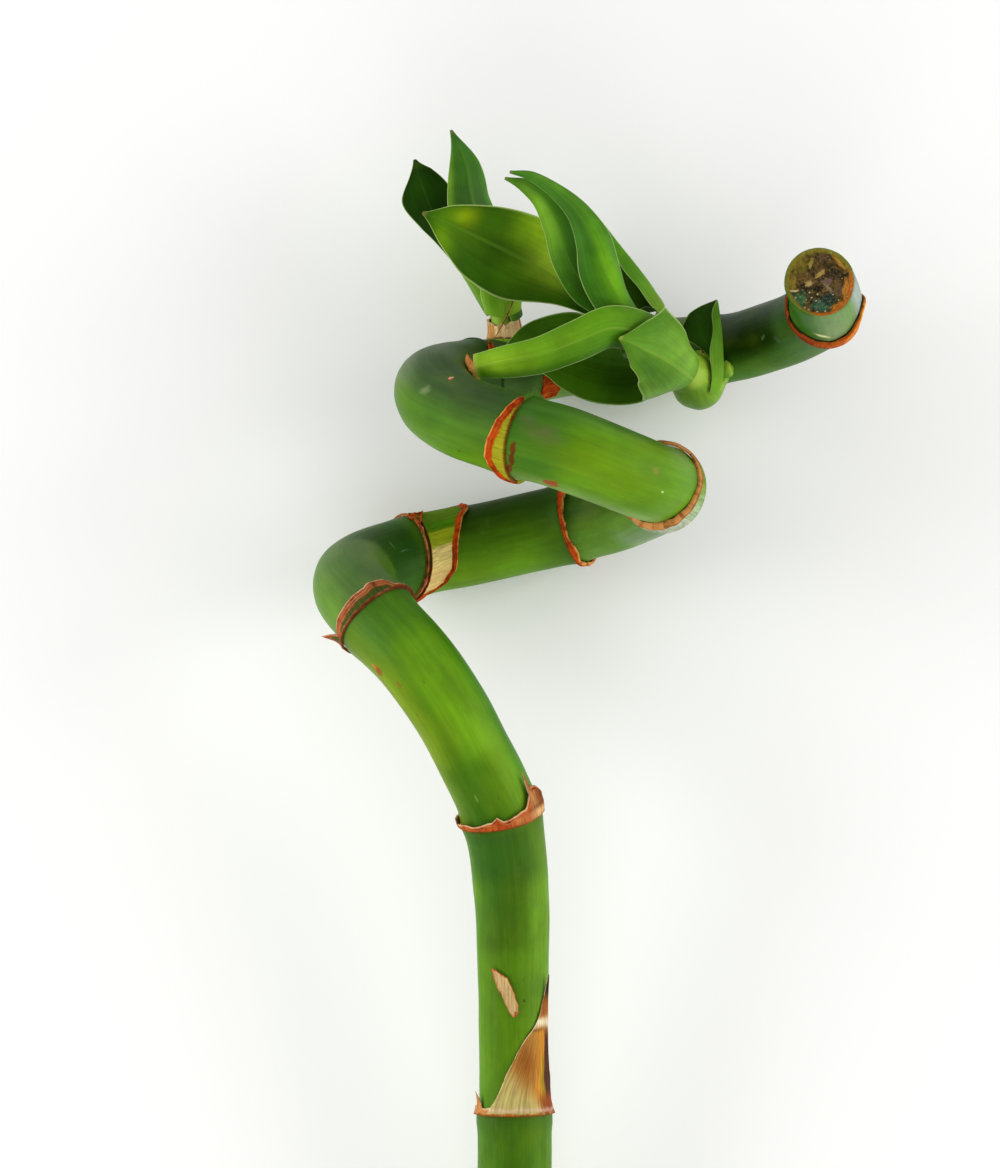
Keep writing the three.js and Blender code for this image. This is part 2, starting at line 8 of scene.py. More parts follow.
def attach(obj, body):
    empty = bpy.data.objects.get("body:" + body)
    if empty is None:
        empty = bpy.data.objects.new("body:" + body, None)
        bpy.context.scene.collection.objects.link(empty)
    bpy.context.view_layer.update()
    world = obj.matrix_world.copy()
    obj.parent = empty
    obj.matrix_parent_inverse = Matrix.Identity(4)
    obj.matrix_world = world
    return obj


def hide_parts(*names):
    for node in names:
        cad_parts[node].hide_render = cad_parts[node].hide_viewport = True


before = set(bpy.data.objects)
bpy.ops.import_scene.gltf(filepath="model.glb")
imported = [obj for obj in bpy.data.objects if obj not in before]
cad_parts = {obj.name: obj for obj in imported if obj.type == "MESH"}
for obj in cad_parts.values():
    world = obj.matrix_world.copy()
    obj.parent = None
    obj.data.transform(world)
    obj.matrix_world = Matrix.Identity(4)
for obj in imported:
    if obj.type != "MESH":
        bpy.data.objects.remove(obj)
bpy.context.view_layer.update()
print("frame loaded:", len(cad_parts), "nodes")

# Shapes are drawn in millimetres in the growing frame: X right, Y up the stalk from its foot, Z to the front.
# layDown turns them back on to the surface, in metres.
mm = 0.001
rightward, up, front = np.eye(3)
lie = {"tilt": 10.37, "roll": 0.29, "shift": (-15.19, -135.04, 7.32)}
turnDown = np.array(
    Matrix.Rotation(math.radians(lie["roll"]), 3, "Y") @ Matrix.Rotation(math.radians(lie["tilt"]), 3, "X"))


def layDown(points):
    return (np.asarray(points) @ turnDown.T + lie["shift"]) * mm


def unit(vectors):
    return vectors / np.linalg.norm(vectors, axis=-1, keepdims=True)


def runOf(points):  # distance along a line of points
    return np.concatenate([[0], np.cumsum(np.linalg.norm(np.diff(points, axis=0), axis=1))])


def bell(away, reach):
    return np.exp(-(away / reach) ** 2)


def near(value, at, reach):
    return bell(value - at, reach)


def easeIn(value, low, high):  # 0 below low, 1 above high, smooth between
    share = np.clip((value - low) / (high - low), 0, 1)
    return share * share * (3 - 2 * share)


def turnAway(turn, at):  # signed difference of two angles in degrees
    return (turn - at + 180) % 360 - 180


lumpNoise = {"seedStep": (1, 7.1, -3.3), "gain": 1.6}


def lumps(points, size, seed=0.0):  # smooth noise from about -1 to 1, size in the points' unit
    shift = Vector([step * seed for step in lumpNoise["seedStep"]])
    flat = points.reshape(-1, 3) / size
    values = np.array([noise.noise(Vector(p) + shift) for p in flat.tolist()])
    return values.reshape(points.shape[:-1]) * lumpNoise["gain"]


def bridge(here, after, slopeIn, slopeOut, f):  # from here at 0 to after at 1, with the given slopes
    rise = after - here
    bulge = f * f * (3 * rise - 2 * slopeIn - slopeOut)
    return here + f * slopeIn + bulge + f ** 3 * (slopeIn + slopeOut - 2 * rise)


def smoothValue(values, t):  # at t from 0 to 1 on a smooth line through evenly spaced numbers
    values = np.asarray(values, float)
    last = len(values) - 1
    place = np.clip(t, 0, 1) * last
    i = np.minimum(place.astype(int), last - 1)
    before, here, after, beyond = (values[np.clip(i + k, 0, last)] for k in (-1, 0, 1, 2))
    return bridge(here, after, (after - before) / 2, (beyond - here) / 2, place - i)


def smoothLine(knots, t):  # centripetal curve through the knots, at t from 0 to 1
    knots = np.asarray(knots, float)
    ends = np.vstack([2 * knots[0] - knots[1], knots, 2 * knots[-1] - knots[-2]])
    place = np.clip(t, 0, 1) * (len(knots) - 1)
    i = np.minimum(place.astype(int), len(knots) - 2)
    a, b, c, d = (ends[i + k] for k in range(4))
    ab, bc, cd = (np.sqrt(np.linalg.norm(q - p, axis=1, keepdims=True)) for p, q in ((a, b), (b, c), (c, d)))
    slopeIn = ((b - a) / ab - (c - a) / (ab + bc) + (c - b) / bc) * bc
    slopeOut = ((c - b) / bc - (d - b) / (bc + cd) + (d - c) / cd) * bc
    return bridge(b, c, slopeIn, slopeOut, (place - i)[:, None])

# A stem is its centreline with, at short steps, a side direction carried on without twist.
stemGrid = {"step": 0.25, "samples": 60}


def makeStem(knots, radiusOf):
    t = np.linspace(0, 1, stemGrid["samples"] * len(knots))
    line = smoothLine(knots, t)
    run = runOf(line)
    along = np.linspace(0, run[-1], int(run[-1] / stemGrid["step"]))
    centre = np.stack([np.interp(along, run, line[:, k]) for k in range(3)], 1)
    tangent = unit(np.gradient(centre, axis=0))
    side = front
    sides = []
    for direction in tangent:
        side = unit(side - side @ direction * direction)
        sides.append(side)
    radius = radiusOf(along, np.interp(along, run, t))
    return {"along": along, "centre": centre, "tangent": tangent, "side": np.array(sides), "radius": radius,
            "length": run[-1]}


def raysFrom(stem, along, angle, towards=None):  # centres and outward directions at places on a stem
    centre, tangent, side = (
        np.stack([np.interp(along, stem["along"], stem[key][:, k]) for k in range(3)], -1)
        for key in ("centre", "tangent", "side"))
    tangent = unit(tangent)
    if towards is not None:
        side = np.broadcast_to(towards, tangent.shape)
    side = unit(side - (side * tangent).sum(-1, keepdims=True) * tangent)
    return centre, side * np.cos(angle)[..., None] + np.cross(tangent, side) * np.sin(angle)[..., None]


def radiusOn(stem, along):
    return np.interp(along, stem["along"], stem["radius"])


def unroll(radius, angle, along):  # places on a stem as if it were straight
    return np.stack(np.broadcast_arrays(radius * np.cos(angle), radius * np.sin(angle), along), -1)


# The stalk.
stalkRoute = [
    (0, 0, 0), (0, 43.6, 0), (-0.1, 71.2, 0), (-0.4, 93.6, 0), (-0.7, 113.7, 1), (-2.8, 130.6, 4),
    (-8.6, 143.7, 8), (-14.1, 153.8, 9.5), (-20.9, 162.9, 7), (-27.4, 169.6, 1), (-32.5, 175.6, -10),
    (-31.2, 179, -20), (-20.1, 182.6, -30), (-8.4, 184.9, -33), (8.2, 188.6, -32.5), (19, 191.2, -28),
    (26.2, 193.9, -20), (29.7, 196.2, -9), (26.9, 197.3, 3), (22.3, 198.8, 9.5), (8.2, 204, 15),
    (-0.6, 206.4, 12), (-13, 211.6, -1), (-16.3, 215.8, -11), (-13.2, 218.4, -24), (-4.7, 219.8, -34),
    (9.5, 223.2, -40), (26.1, 224.7, -41), (44.9, 225.8, -36), (52, 227.5, -31), (58.4, 229.8, -23),
    (62.9, 233, -10), (60.9, 237.1, 1), (60.2, 238.3, 4),
]
stalkGirth = [
    (0, 7.7), (60, 7.4), (69, 7.5), (74, 6.9), (94, 7), (114, 7.5), (131, 7.9), (146, 7.7), (180, 8.1),
    (220, 8.3), (270, 8.2), (290, 7.9), (315, 8.2), (365, 8.2), (390, 7.7), (440, 7), (484, 7.1),
]
stalkNodes = [15, 71, 131, 180, 219, 254, 288, 330, 384, 437, 472]
stalk = {
    "sides": 72, "plainStep": 1.3, "nodeStep": 0.4, "nodeReach": (3, 6), "swelling": 0.35,
    "swellingReach": 2.6, "groove": 0.14, "grooveAt": 0.4, "grooveReach": 0.45, "lump": 0.1, "lumpSize": 9,
    "flute": 0.05, "fluteSize": 2.2, "fluteScale": (1, 1, 0.03), "fluteSeed": 3.0, "belowFade": 3.5,
    "aboveFade": 3.0, "edgeRounding": 0.45, "roundingDepth": 0.6, "cutAt": (60.9, 237.1, 1),
    "cutFacing": (-0.1, 0.2, 0.97), "cutStretch": 8, "cutReach": 25, "cutStep": 0.1, "endRows": (0.94, 20),
    "lastRows": [0.97, 0.985, 0.995, 1.0],
}
farAway = 99.0


def stalkRadius(along, _):
    radius = np.interp(along, *zip(*stalkGirth))
    for node in stalkNodes:
        radius = radius + stalk["swelling"] * bell(along - node, stalk["swellingReach"])
    return radius


stalkStem = makeStem(stalkRoute, stalkRadius)

# Short stems of the side shoots and a small bud: x, y, z, radius.
sideStems = {
    "rightShootStem": [
        (40, 224, -36, 4.2), (38, 217.8, -31, 5.1), (36, 220.1, -26, 4.6), (31.9, 223.3, -20.5, 2.7),
        (27.5, 226.6, -16.5, 1.9), (23.2, 229.7, -14, 1.3), (19.7, 232.3, -13, 0.8),
    ],
    "leftShootStem": [
        (-2.4, 219, -35, 3.4), (-2, 224.8, -35, 3.3), (-2, 229.4, -36, 3), (-3, 234.6, -35, 1.9),
        (-4.7, 239.3, -34, 1),
    ],
    "greenBud": [
        (43.6, 222, -31, 0.8), (43.7, 220.2, -29, 1.1), (43.6, 221.6, -28, 0.8), (43.5, 222.8, -28.2, 0.3),
    ],
}


def makeSideStem(knots):
    radii = [knot[3] for knot in knots]
    return makeStem([knot[:3] for knot in knots], lambda along, t: smoothValue(radii, t))


shootStems = {name: makeSideStem(knots) for name, knots in sideStems.items()}


def gridFaces(rows, columns, closed=True):  # four-sided faces between neighbouring rows of points
    a = np.arange(rows - 1)[:, None] * columns
    i = np.arange(columns if closed else columns - 1)[None, :]
    j = (i + 1) % columns
    return np.stack([a + i, a + j, a + j + columns, a + i + columns], -1).reshape(-1, 4).tolist()


def closedTube(rows, columns):  # the same with a face over each end
    last = (rows - 1) * columns
    return gridFaces(rows, columns) + [list(range(columns))[::-1], [last + i for i in range(columns)]]


def addObject(name, data):
    made = bpy.data.objects.new(name, data)
    bpy.context.scene.collection.objects.link(made)
    return made


def addPiece(name, points, faces, material, node, fields, sharp=50):
    mesh = bpy.data.meshes.new(name)
    places = layDown(points.reshape(-1, 3))
    places[:, 2] = np.maximum(places[:, 2], 0)  # pressed flat where it lies
    mesh.from_pydata(places.tolist(), [], faces)
    for key, values in fields.items():
        flat = np.asarray(values, np.float32)
        vector = flat.shape[-1] == 3 and flat.ndim == points.ndim
        made = mesh.attributes.new(key, "FLOAT_VECTOR" if vector else "FLOAT", "POINT")
        made.data.foreach_set("vector" if vector else "value", flat.ravel())
    mesh.materials.append(material)
    mesh.shade_smooth()
    mesh.set_sharp_from_angle(angle=math.radians(sharp))
    piece = addObject(name, mesh)
    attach(piece, "root")
    if node:
        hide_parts(node)


# Colours are given as on the screen and used as linear light.
def tint(hexColour):
    parts = [int(hexColour[k:k + 2], 16) / 255 for k in (0, 2, 4)]
    return tuple(p / 12.92 if p <= 0.04045 else ((p + 0.055) / 1.055) ** 2.4 for p in parts) + (1.0,)


def rgb(hexColour):
    return np.array(tint(hexColour)[:3])


def layOver(tone, cover, hexColour):  # a colour over the tones of points, by its share at each
    return tone + cover[..., None] * (rgb(hexColour) - tone)


# Materials. Each of these helpers adds one node and returns its output.
def join(tree, socket, value):
    if isinstance(value, bpy.types.NodeSocket):
        tree.links.new(value, socket)
    else:
        socket.default_value = value


def calc(tree, operation, *values):
    made = tree.nodes.new("ShaderNodeMath")
    made.operation = operation
    for socket, value in zip(made.inputs, values):
        join(tree, socket, value)
    return made.outputs[0]


def ramp(tree, value, low, high, start=0.0, end=1.0):
    made = tree.nodes.new("ShaderNodeMapRange")
    made.interpolation_type = "SMOOTHSTEP"
    for socket, given in zip(made.inputs, (value, low, high, start, end)):
        join(tree, socket, given)
    return made.outputs[0]


def mixColour(tree, share, first, second):
    made = tree.nodes.new("ShaderNodeMix")
    made.data_type = "RGBA"
    for socket, given in zip((made.inputs[0], made.inputs[6], made.inputs[7]), (share, first, second)):
        join(tree, socket, tint(given) if isinstance(given, str) else given)
    return made.outputs[2]


def field(tree, name, output="Fac"):
    made = tree.nodes.new("ShaderNodeAttribute")
    made.attribute_name = name
    return made.outputs[output]


def stretch(tree, vector, scale, place=(0, 0, 0), rotation=(0, 0, 0), kind="POINT"):
    made = tree.nodes.new("ShaderNodeMapping")
    made.vector_type = kind
    for name, value in (("Vector", vector), ("Location", place), ("Rotation", rotation), ("Scale", scale)):
        join(tree, made.inputs[name], value)
    return made.outputs[0]


def cloud(tree, vector, scale, detail, roughness=0.5, distortion=0.0):
    made = tree.nodes.new("ShaderNodeTexNoise")
    for name, value in (("Vector", vector), ("Scale", scale), ("Detail", detail), ("Roughness", roughness),
                        ("Distortion", distortion)):
        join(tree, made.inputs[name], value)
    return made.outputs["Fac"]


# These put several nodes together. Masks are named outputs from 0 to 1 that a look refers to.
def fieldCloud(tree, source, size, detail, roughness=0.5, place=(0, 0, 0), distortion=0.0):
    size = size if isinstance(size, tuple) else (size, size, size)
    vector = stretch(tree, field(tree, source, "Vector"), size, place)
    return cloud(tree, vector, 1.0, detail, roughness, distortion)


def shade(tree, colour, masks, shades):  # darker or lighter by each mask
    for mask, *limits in shades:
        made = tree.nodes.new("ShaderNodeVectorMath")
        made.operation = "SCALE"
        tree.links.new(colour, made.inputs[0])
        tree.links.new(ramp(tree, masks[mask], *limits), made.inputs["Scale"])
        colour = made.outputs["Vector"]
    return colour


def paint(tree, colour, masks, layers, colours):  # a layer's colour may be a name in colours
    for mask, start, full, share, given in layers:
        cover = ramp(tree, masks[mask], start, full, 0, share)
        colour = mixColour(tree, cover, colour, colours.get(given, given))
    return colour


def specks(tree, vector, rare, look, share):  # small round dots, only where the rare cloud is high
    made = tree.nodes.new("ShaderNodeTexVoronoi")
    tree.links.new(vector, made.inputs["Vector"])
    made.inputs["Scale"].default_value = look["scale"]
    dots = ramp(tree, made.outputs["Distance"], *look["size"])
    return calc(tree, "MULTIPLY", dots, ramp(tree, rare, *look["where"], 0, share))


markNoise = {"scale": 1.8, "detail": 5, "roughness": 0.6}


def oval(tree, vector, at, sizes, share, soft, rotation=(0, 0, 0), ragged=0.5):  # share inside an oval mark
    local = stretch(tree, vector, sizes, at, rotation, "TEXTURE")
    away = tree.nodes.new("ShaderNodeVectorMath")
    away.operation = "LENGTH"
    tree.links.new(local, away.inputs[0])
    rough = calc(tree, "MULTIPLY_ADD", cloud(tree, local, *markNoise.values()), ragged * 2, -ragged)
    return ramp(tree, calc(tree, "ADD", away.outputs["Value"], rough), 1.0, 1.0 - soft, 0, share)


def addUp(tree, masks, total, parts):
    for mask, weight in parts:
        total = calc(tree, "MULTIPLY_ADD", masks[mask], weight, total)
    return total


sheen = (0.9, 1.0, 0.6, 1.0)


def newMaterial(name, look):
    material = bpy.data.materials.new(name)
    material.use_nodes = True
    tree = material.node_tree
    return material, tree, {mask: fieldCloud(tree, *settings) for mask, settings in look["clouds"].items()}


def finishMaterial(material, look, masks, colour):
    tree = material.node_tree
    bump = tree.nodes.new("ShaderNodeBump")
    bump.inputs["Strength"].default_value = 1.0
    bump.inputs["Distance"].default_value = look["bump"] * mm
    tree.links.new(addUp(tree, masks, 0.0, look["relief"]), bump.inputs["Height"])
    sockets = tree.nodes["Principled BSDF"].inputs
    for name, value in (("Base Color", colour), ("Roughness", addUp(tree, masks, *look["rough"])),
                        ("Specular IOR Level", look["specular"]), ("Specular Tint", sheen),
                        ("Normal", bump.outputs[0])):
        join(tree, sockets[name], value)
    return material


# Broad tones of the skin, one over the other: from and to along the stalk, the way that the skin faces, how
# far round (-1 all the way, 1 only there), colour and share. The first covers the whole stalk. Besides the
# skin's own greens these tones hold painted light and shade by the way the skin faces: lighter and darker
# sides, painted highlights, painted shadow where one coil lies under another and painted reflections.
toneFade = 2.5
allRound = (-3, -2)
skinTonesAndPaintedLight = [
    (-9, 999, (0, 0, 1), allRound, "517a10", 1.0),
    # Painted light and shade on the first straight stretch: lighter sides and a darker middle.
    (-9, 131, (1, 0, 0.4), (0.2, 0.95), "64901a", 0.72), (-9, 131, (-1, 0, 0.1), (0.6, 1), "5c8c10", 0.6),
    (-9, 60, (-0.1, 0, 1), (0.5, 1), "426c0c", 0.5), (58, 71, (0, 0, 1), (-0.2, 1), "2c5a0e", 0.55),
    (104, 131, (-0.2, 0, 1), (0.5, 1), "3a5c10", 0.75), (119, 131, (0, 0, 1), (-0.4, 0.7), "2a5414", 0.55),
    # Painted highlight on the lit side of the first bend, with a darker right side and a lighter left side.
    (131, 180, (0, 0, 1), allRound, "48700c", 0.8), (131, 180, (0.35, 0.2, 0.9), (0.55, 0.95), "6c9c18", 0.9),
    (131, 180, (1, 0.5, 0), (0.55, 1), "3c7808", 0.85), (131, 180, (-1, -0.4, 0.1), (0.5, 1), "78900e", 0.7),
    (131, 146, (-0.3, 0, 1), (0.4, 1), "305e0a", 0.75), (170, 180, (0.2, 0, 1), (-0.2, 0.9), "3c7020", 0.5),
    (180, 217, (0, 0, 1), allRound, "4e7420", 0.9), (180, 210, (-0.4, 1, 0.5), (0.1, 1), "55703a", 0.7),
    (182, 206, (-1, -0.5, 0.4), (0.3, 1), "5a861c", 0.7),
    (202, 217, (0.1, 0.2, 1), (-0.2, 0.8), "1f440a", 0.85),
    (203, 215, (0, -0.7, 1), (0.5, 1), "3a6c14", 0.6),
    # Painted shadow on the top of this coil, which lies under the coil above, and a lighter underside.
    (217, 254, (0, 0, 1), allRound, "446c0a", 0.9), (229, 254, (0, 1, 0.3), (0.1, 0.95), "223a08", 0.92),
    (217, 256, (0, -1, 0.35), (0.2, 0.95), "5c8a12", 0.9), (247, 254, (0, 0, 1), (0, 1), "2a4810", 0.4),
    (254, 288, (0, 0, 1), allRound, "2c4a12", 0.9), (254, 288, (0, -1, 0.35), (0.1, 0.95), "5f8a2a", 0.9),
    (268, 288, (0.6, -0.7, 0.5), (0.3, 1), "8ea088", 0.7),
    (288, 330, (0, 0, 1), allRound, "5a8816", 0.95), (288, 330, (0.3, 1, -0.1), (0.6, 1), "2c5808", 0.9),
    (288, 322, (-0.1, -0.2, 1), (0.6, 1), "66900e", 0.6), (288, 330, (-0.3, -1, 0), (0.75, 1), "7c9a48", 0.6),
    (321, 330, (0, 0, 1), (0, 0.9), "3f7420", 0.7),
    (330, 376, (0, 0, 1), allRound, "426c0c", 0.9), (330, 384, (-0.1, 1, 0.5), (0.35, 0.95), "344c26", 0.92),
    (342, 380, (-1, 0.8, 0.1), (0.84, 1), "74885c", 0.45),
    (330, 376, (-0.3, -1, 0.2), (0.4, 1), "5c8a10", 0.7),
    (376, 437, (0, 0, 1), allRound, "486238", 0.9), (380, 437, (0, -1, 0.3), (0.2, 0.9), "7aa44a", 0.85),
    # Painted shadow over this stretch.
    (374, 396, (0, 0, 1), allRound, "34541c", 0.75),
    # Painted shade on the dark stretch before the top ring, with a painted grey sheen on its top.
    (437, 473, (0, 0, 1), allRound, "142c04", 0.95), (437, 473, (0, 1, 0.5), (0.35, 0.95), "3e4c3e", 0.8),
    (437, 473, (0, -1, 0.3), (0.5, 1), "44721a", 0.9), (461, 473, (0, 0, 1), (-0.2, 0.8), "446e34", 0.6),
    (473, 999, (0, 0, 1), allRound, "587c3a", 0.95), (473, 999, (0.2, -1, 0), (0.6, 1), "88a06c", 0.85),
    (473, 999, (-0.9, -0.5, 0), (0.3, 0.9), "2a6014", 0.9),
    # Painted reflection: a pale blue-grey sheen on the right of the stub.
    (473, 999, (1, -0.1, 0.1), (0.82, 1), "a4b0ac", 0.8),
    (472, 480, (0.7, -0.8, 0), (0.94, 1), "4c8a1c", 0.8),
]
# Marks on the skin, and one painted highlight: distance along, angle, half width, half length, lean, colour,
# share, softness.
skinMarksAndPaintedHighlight = [
    (169.3, -54.5, 1.1, 1.7, 0, "843814", 0.85, 0.4), (170.4, -55, 0.5, 0.8, 0, "c8641c", 0.7, 0.4),
    (164.2, -36.8, 0.6, 0.9, 0, "7c4a1e", 0.6, 0.5), (347.4, -55.6, 0.7, 0.5, 0, "e0a890", 0.9, 0.3),
    (347.0, -57.5, 0.8, 0.3, 20, "b4481c", 0.7, 0.3), (327.3, -128, 1.7, 0.5, 0, "64280e", 0.9, 0.4),
    (327.4, -144, 1.8, 0.5, 0, "5c240e", 0.9, 0.4), (327.9, -161, 1.7, 0.5, -10, "64280e", 0.9, 0.4),
    (328.9, -177, 1.6, 0.5, -24, "64280e", 0.9, 0.4), (320.9, -172, 1.5, 1.7, 0, "8c3a14", 0.9, 0.4),
    (94.1, 18.1, 0.35, 0.4, 0, "42301a", 0.8, 0.4), (92.1, 2.9, 0.4, 0.5, 0, "2c5a14", 0.8, 0.4),
    (208.6, 84.5, 1.5, 0.2, 12, "6f9a6c", 0.45, 0.7), (211.4, 97.6, 0.2, 1.9, 0, "6f9a6c", 0.4, 0.7),
    (349.9, -91.9, 1.4, 1.9, 30, "98a678", 0.35, 0.9), (323.9, -98, 3.0, 3.6, 0, "66683c", 0.6, 1.0),
    (326.4, -84, 1.8, 1.9, 0, "5c5c40", 0.5, 1.0), (305.4, -92.4, 1.1, 0.8, 0, "8f7a3c", 0.5, 0.7),
    (303.2, -118, 0.25, 0.25, 0, "b8cc8a", 0.8, 0.3), (456.0, 38.0, 0.4, 1.2, 25, "84946c", 0.35, 0.6),
    # The pale yellow-white mark at 476 mm is a painted highlight on the stub.
    (461.0, 52.0, 1.6, 0.9, 40, "56664e", 0.5, 0.9), (476.0, 97.0, 2.2, 0.7, -14, "dadc9c", 0.85, 0.7),
    (338.5, -160, 0.5, 0.35, 0, "2c2c18", 0.7, 0.4), (139.0, -20, 0.25, 1.2, 0, "8aa85c", 0.4, 0.6),
]


def skinToneAndPaintedLightOf(along, spread):
    tone = np.zeros(spread.shape)
    for low, high, towards, reach, hexColour, share in skinTonesAndPaintedLight:
        span = easeIn(along, low - toneFade, low + toneFade) * easeIn(along, high + toneFade, high - toneFade)
        facing = spread @ unit(np.array(towards, float))
        tone = layOver(tone, share * span * easeIn(facing, *reach), hexColour)
    return tone


# The look of a material: clouds are noises, as field, fineness, detail, roughness, place and distortion;
# shades make it darker or lighter by a mask, as mask, low, high, factor at low and at high; layers lay a
# colour over it, as mask, where it starts and is full, share and colour. Rough is the plain roughness and
# what each mask adds; relief is the weight of each mask in the bump, which is bump mm deep.
caneLook = {
    "specular": 0.07, "rough": (0.26, [("fine", 0.14), ("bloom", 0.12)]), "bump": 0.08,
    "relief": [("fine", 1), ("lump", 0.6)], "clouds": {
        "mottle": ("straight", (0.17, 0.17, 0.1), 4, 0.6), "streak": ("straight", (1, 1, 0.045), 3, 0.6),
        "fine": ("straight", (4, 4, 0.12), 3, 0.6), "warm": ("straight", (0.1, 0.1, 0.05), 3, 0.5, (7, 2, 5)),
        "bloom": ("straight", (0.2, 0.2, 0.13), 5, 0.7, (4, 9, 2)), "rare": ("straight", 0.11, 1),
        "lump": ("straight", 0.9, 4, 0.6)},
    "shades": [("mottle", 0.32, 0.68, 0.8, 1.04), ("streak", 0.34, 0.68, 0.93, 1.08),
               ("fine", 0.36, 0.68, 0.97, 1.04)],
    "warmth": [("warm", 0.5, 0.68, 0.18, "74880c"), ("warm", 0.46, 0.3, 0.22, "1f5a1c")],
    "nodeShades": [("belowNode", 0.5, "1a3c12"), ("aboveNode", 0.25, "28500e")],
    "bloomLayer": [("bloom", 0.6, 0.76, 0.18, "647a38")],
    "flecks": {"scale": 0.36, "size": (0.1, 0.04), "where": (0.5, 0.62), "share": 0.6, "stretch": (1, 1, 0.6),
               "colour": "4c4a1c"},
    "markDepth": 6,
}


def makeCaneMaterial():
    material, tree, masks = newMaterial("livingCane", caneLook)
    straight = field(tree, "straight", "Vector")
    colour = shade(tree, field(tree, "tone", "Vector"), masks, caneLook["shades"])
    colour = paint(tree, colour, masks, caneLook["warmth"], {})
    for key, share, hexColour in caneLook["nodeShades"]:
        colour = mixColour(tree, calc(tree, "MULTIPLY", field(tree, key), share), colour, hexColour)
    colour = paint(tree, colour, masks, caneLook["bloomLayer"], {})
    flecks = caneLook["flecks"]
    dots = specks(tree, stretch(tree, straight, flecks["stretch"]), masks["rare"], flecks, flecks["share"])
    colour = mixColour(tree, dots, colour, flecks["colour"])
    for along, turn, wide, tall, lean, hexColour, share, soft in skinMarksAndPaintedHighlight:
        angle = math.radians(turn)
        at = unroll(radiusOn(stalkStem, along), angle, along).tolist()
        sizes = (caneLook["markDepth"], wide, tall)
        mark = oval(tree, straight, at, sizes, share, soft, (math.radians(lean), 0, angle))
        colour = mixColour(tree, mark, colour, hexColour)
    return finishMaterial(material, caneLook, masks, colour)


# Patches on a cut face: centre right and up of the middle, half sizes in mm, lean, colour, share, softness.
topPatches = [
    (-3.8, 3.9, 2.4, 1.8, 45, "7a6c1c", 0.8, 0.6), (0.9, 5.1, 2.2, 1.0, 0, "5a4030", 0.7, 0.6),
    (-5.4, 0.6, 1.0, 2.4, 0, "98862c", 0.8, 0.6), (-4.2, -3.4, 2.2, 1.8, 10, "3a6a42", 0.9, 0.5),
    (0.5, -4.5, 2.7, 1.4, 0, "2e634a", 0.92, 0.4), (1.7, -3.3, 1.7, 1.4, -15, "16322e", 0.95, 0.3),
    (3.8, -1.4, 1.3, 1.9, 0, "5c4a3a", 0.7, 0.6), (1.5, 0.4, 1.6, 0.9, 0, "7c5e54", 0.7, 0.6),
    (-0.4, -1.1, 1.5, 0.8, 0, "0e0c0a", 0.95, 0.4), (2.9, 1.7, 1.2, 1.4, 0, "2a2016", 0.85, 0.5),
    (0.1, 1.9, 1.5, 0.5, 35, "b4944a", 0.9, 0.4), (-1.7, 4.1, 0.5, 1.3, -15, "a4903e", 0.85, 0.4),
    (-2.2, -0.1, 0.9, 0.6, 20, "ba9e62", 0.85, 0.4), (1.8, -1.1, 1.6, 0.4, -45, "8c7a60", 0.8, 0.4),
    (5.2, -1.2, 0.8, 2.6, -8, "d0862a", 0.9, 0.5), (3.4, -4.8, 2.0, 0.7, 35, "c47a1e", 0.9, 0.5),
    (-5.3, -1.5, 1.4, 0.24, 0, "dcd094", 0.9, 0.3), (3.9, 4.2, 0.5, 2.2, 40, "c48c34", 0.85, 0.5),
]
# Painted glints: tiny pale reflections on the wet tissue in the lower part of the top cut.
wetGlints = [(-2.1, -1.9), (-1.7, -2.9), (-0.5, -2.2), (-0.8, -3.6), (-2.3, -5.4), (-3.1, -5.0), (-0.6, -5.9),
             (1.0, -5.8), (-4.9, -2.9), (2.6, -2.4)]
topPatches += [(right, above, 0.26, 0.2, 30, "d4ceaa", 0.9, 0.6) for right, above in wetGlints]
cutLook = {
    "specular": 0.16, "rough": (0.4, [("grain", 0.3)]), "relief": [("grain", 1), ("patch", 1)], "bump": 0.4,
    "clouds": {"patch": ("flat", 0.5, 5, 0.65, (0, 0, 0), 0.8), "grain": ("flat", 1.7, 5, 0.72),
               "rare": ("flat", 0.9, 1)},
    "base": [("patch", 0.38, 0.6, 1, "middle")],
    "layers": [("grain", 0.5, 0.68, 0.55, "light"), ("grain", 0.47, 0.34, 0.7, "dark")],
    "rimWander": 0.16, "rimAt": (0.93, 1.02), "rimShades": [("grain", 0.3, 0.7, 0.7, 1.25)],
    # The dots are painted glints, with the cut's glint share as their strength.
    "dots": {"scale": 1.3, "size": (0.16, 0.06), "where": (0.5, 0.58), "colour": "d8d2b4"},
    "smallMark": 0.4, "smallRagged": 0.3, "ragged": 1.1, "markDepth": 9,
}


def makeCutMaterial(name, colours, patches, glintShare):
    material, tree, masks = newMaterial(name, cutLook)
    flat = field(tree, "flat", "Vector")
    colour = paint(tree, colours["dark"], masks, cutLook["base"], colours)
    for right, above, wide, tall, lean, hexColour, share, soft in patches:
        ragged = cutLook["smallRagged"] if wide < cutLook["smallMark"] else cutLook["ragged"]
        sizes = (wide, tall, cutLook["markDepth"])
        mark = oval(tree, flat, (right, above, 0), sizes, share, soft, (0, 0, math.radians(lean)), ragged)
        colour = mixColour(tree, mark, colour, hexColour)
    colour = paint(tree, colour, masks, cutLook["layers"], colours)
    rim = calc(tree, "MULTIPLY_ADD", masks["patch"], cutLook["rimWander"], field(tree, "rim"))
    warm = ramp(tree, field(tree, "orange"), 0.0, 1.0)
    rimColour = mixColour(tree, warm, colours["rim"], colours["warmRim"])
    rimColour = shade(tree, rimColour, masks, cutLook["rimShades"])
    colour = mixColour(tree, ramp(tree, rim, *cutLook["rimAt"]), colour, rimColour)
    # Painted glints laid over the cut.
    dots = specks(tree, flat, masks["rare"], cutLook["dots"], glintShare)
    return finishMaterial(material, cutLook, masks, mixColour(tree, dots, colour, cutLook["dots"]["colour"]))


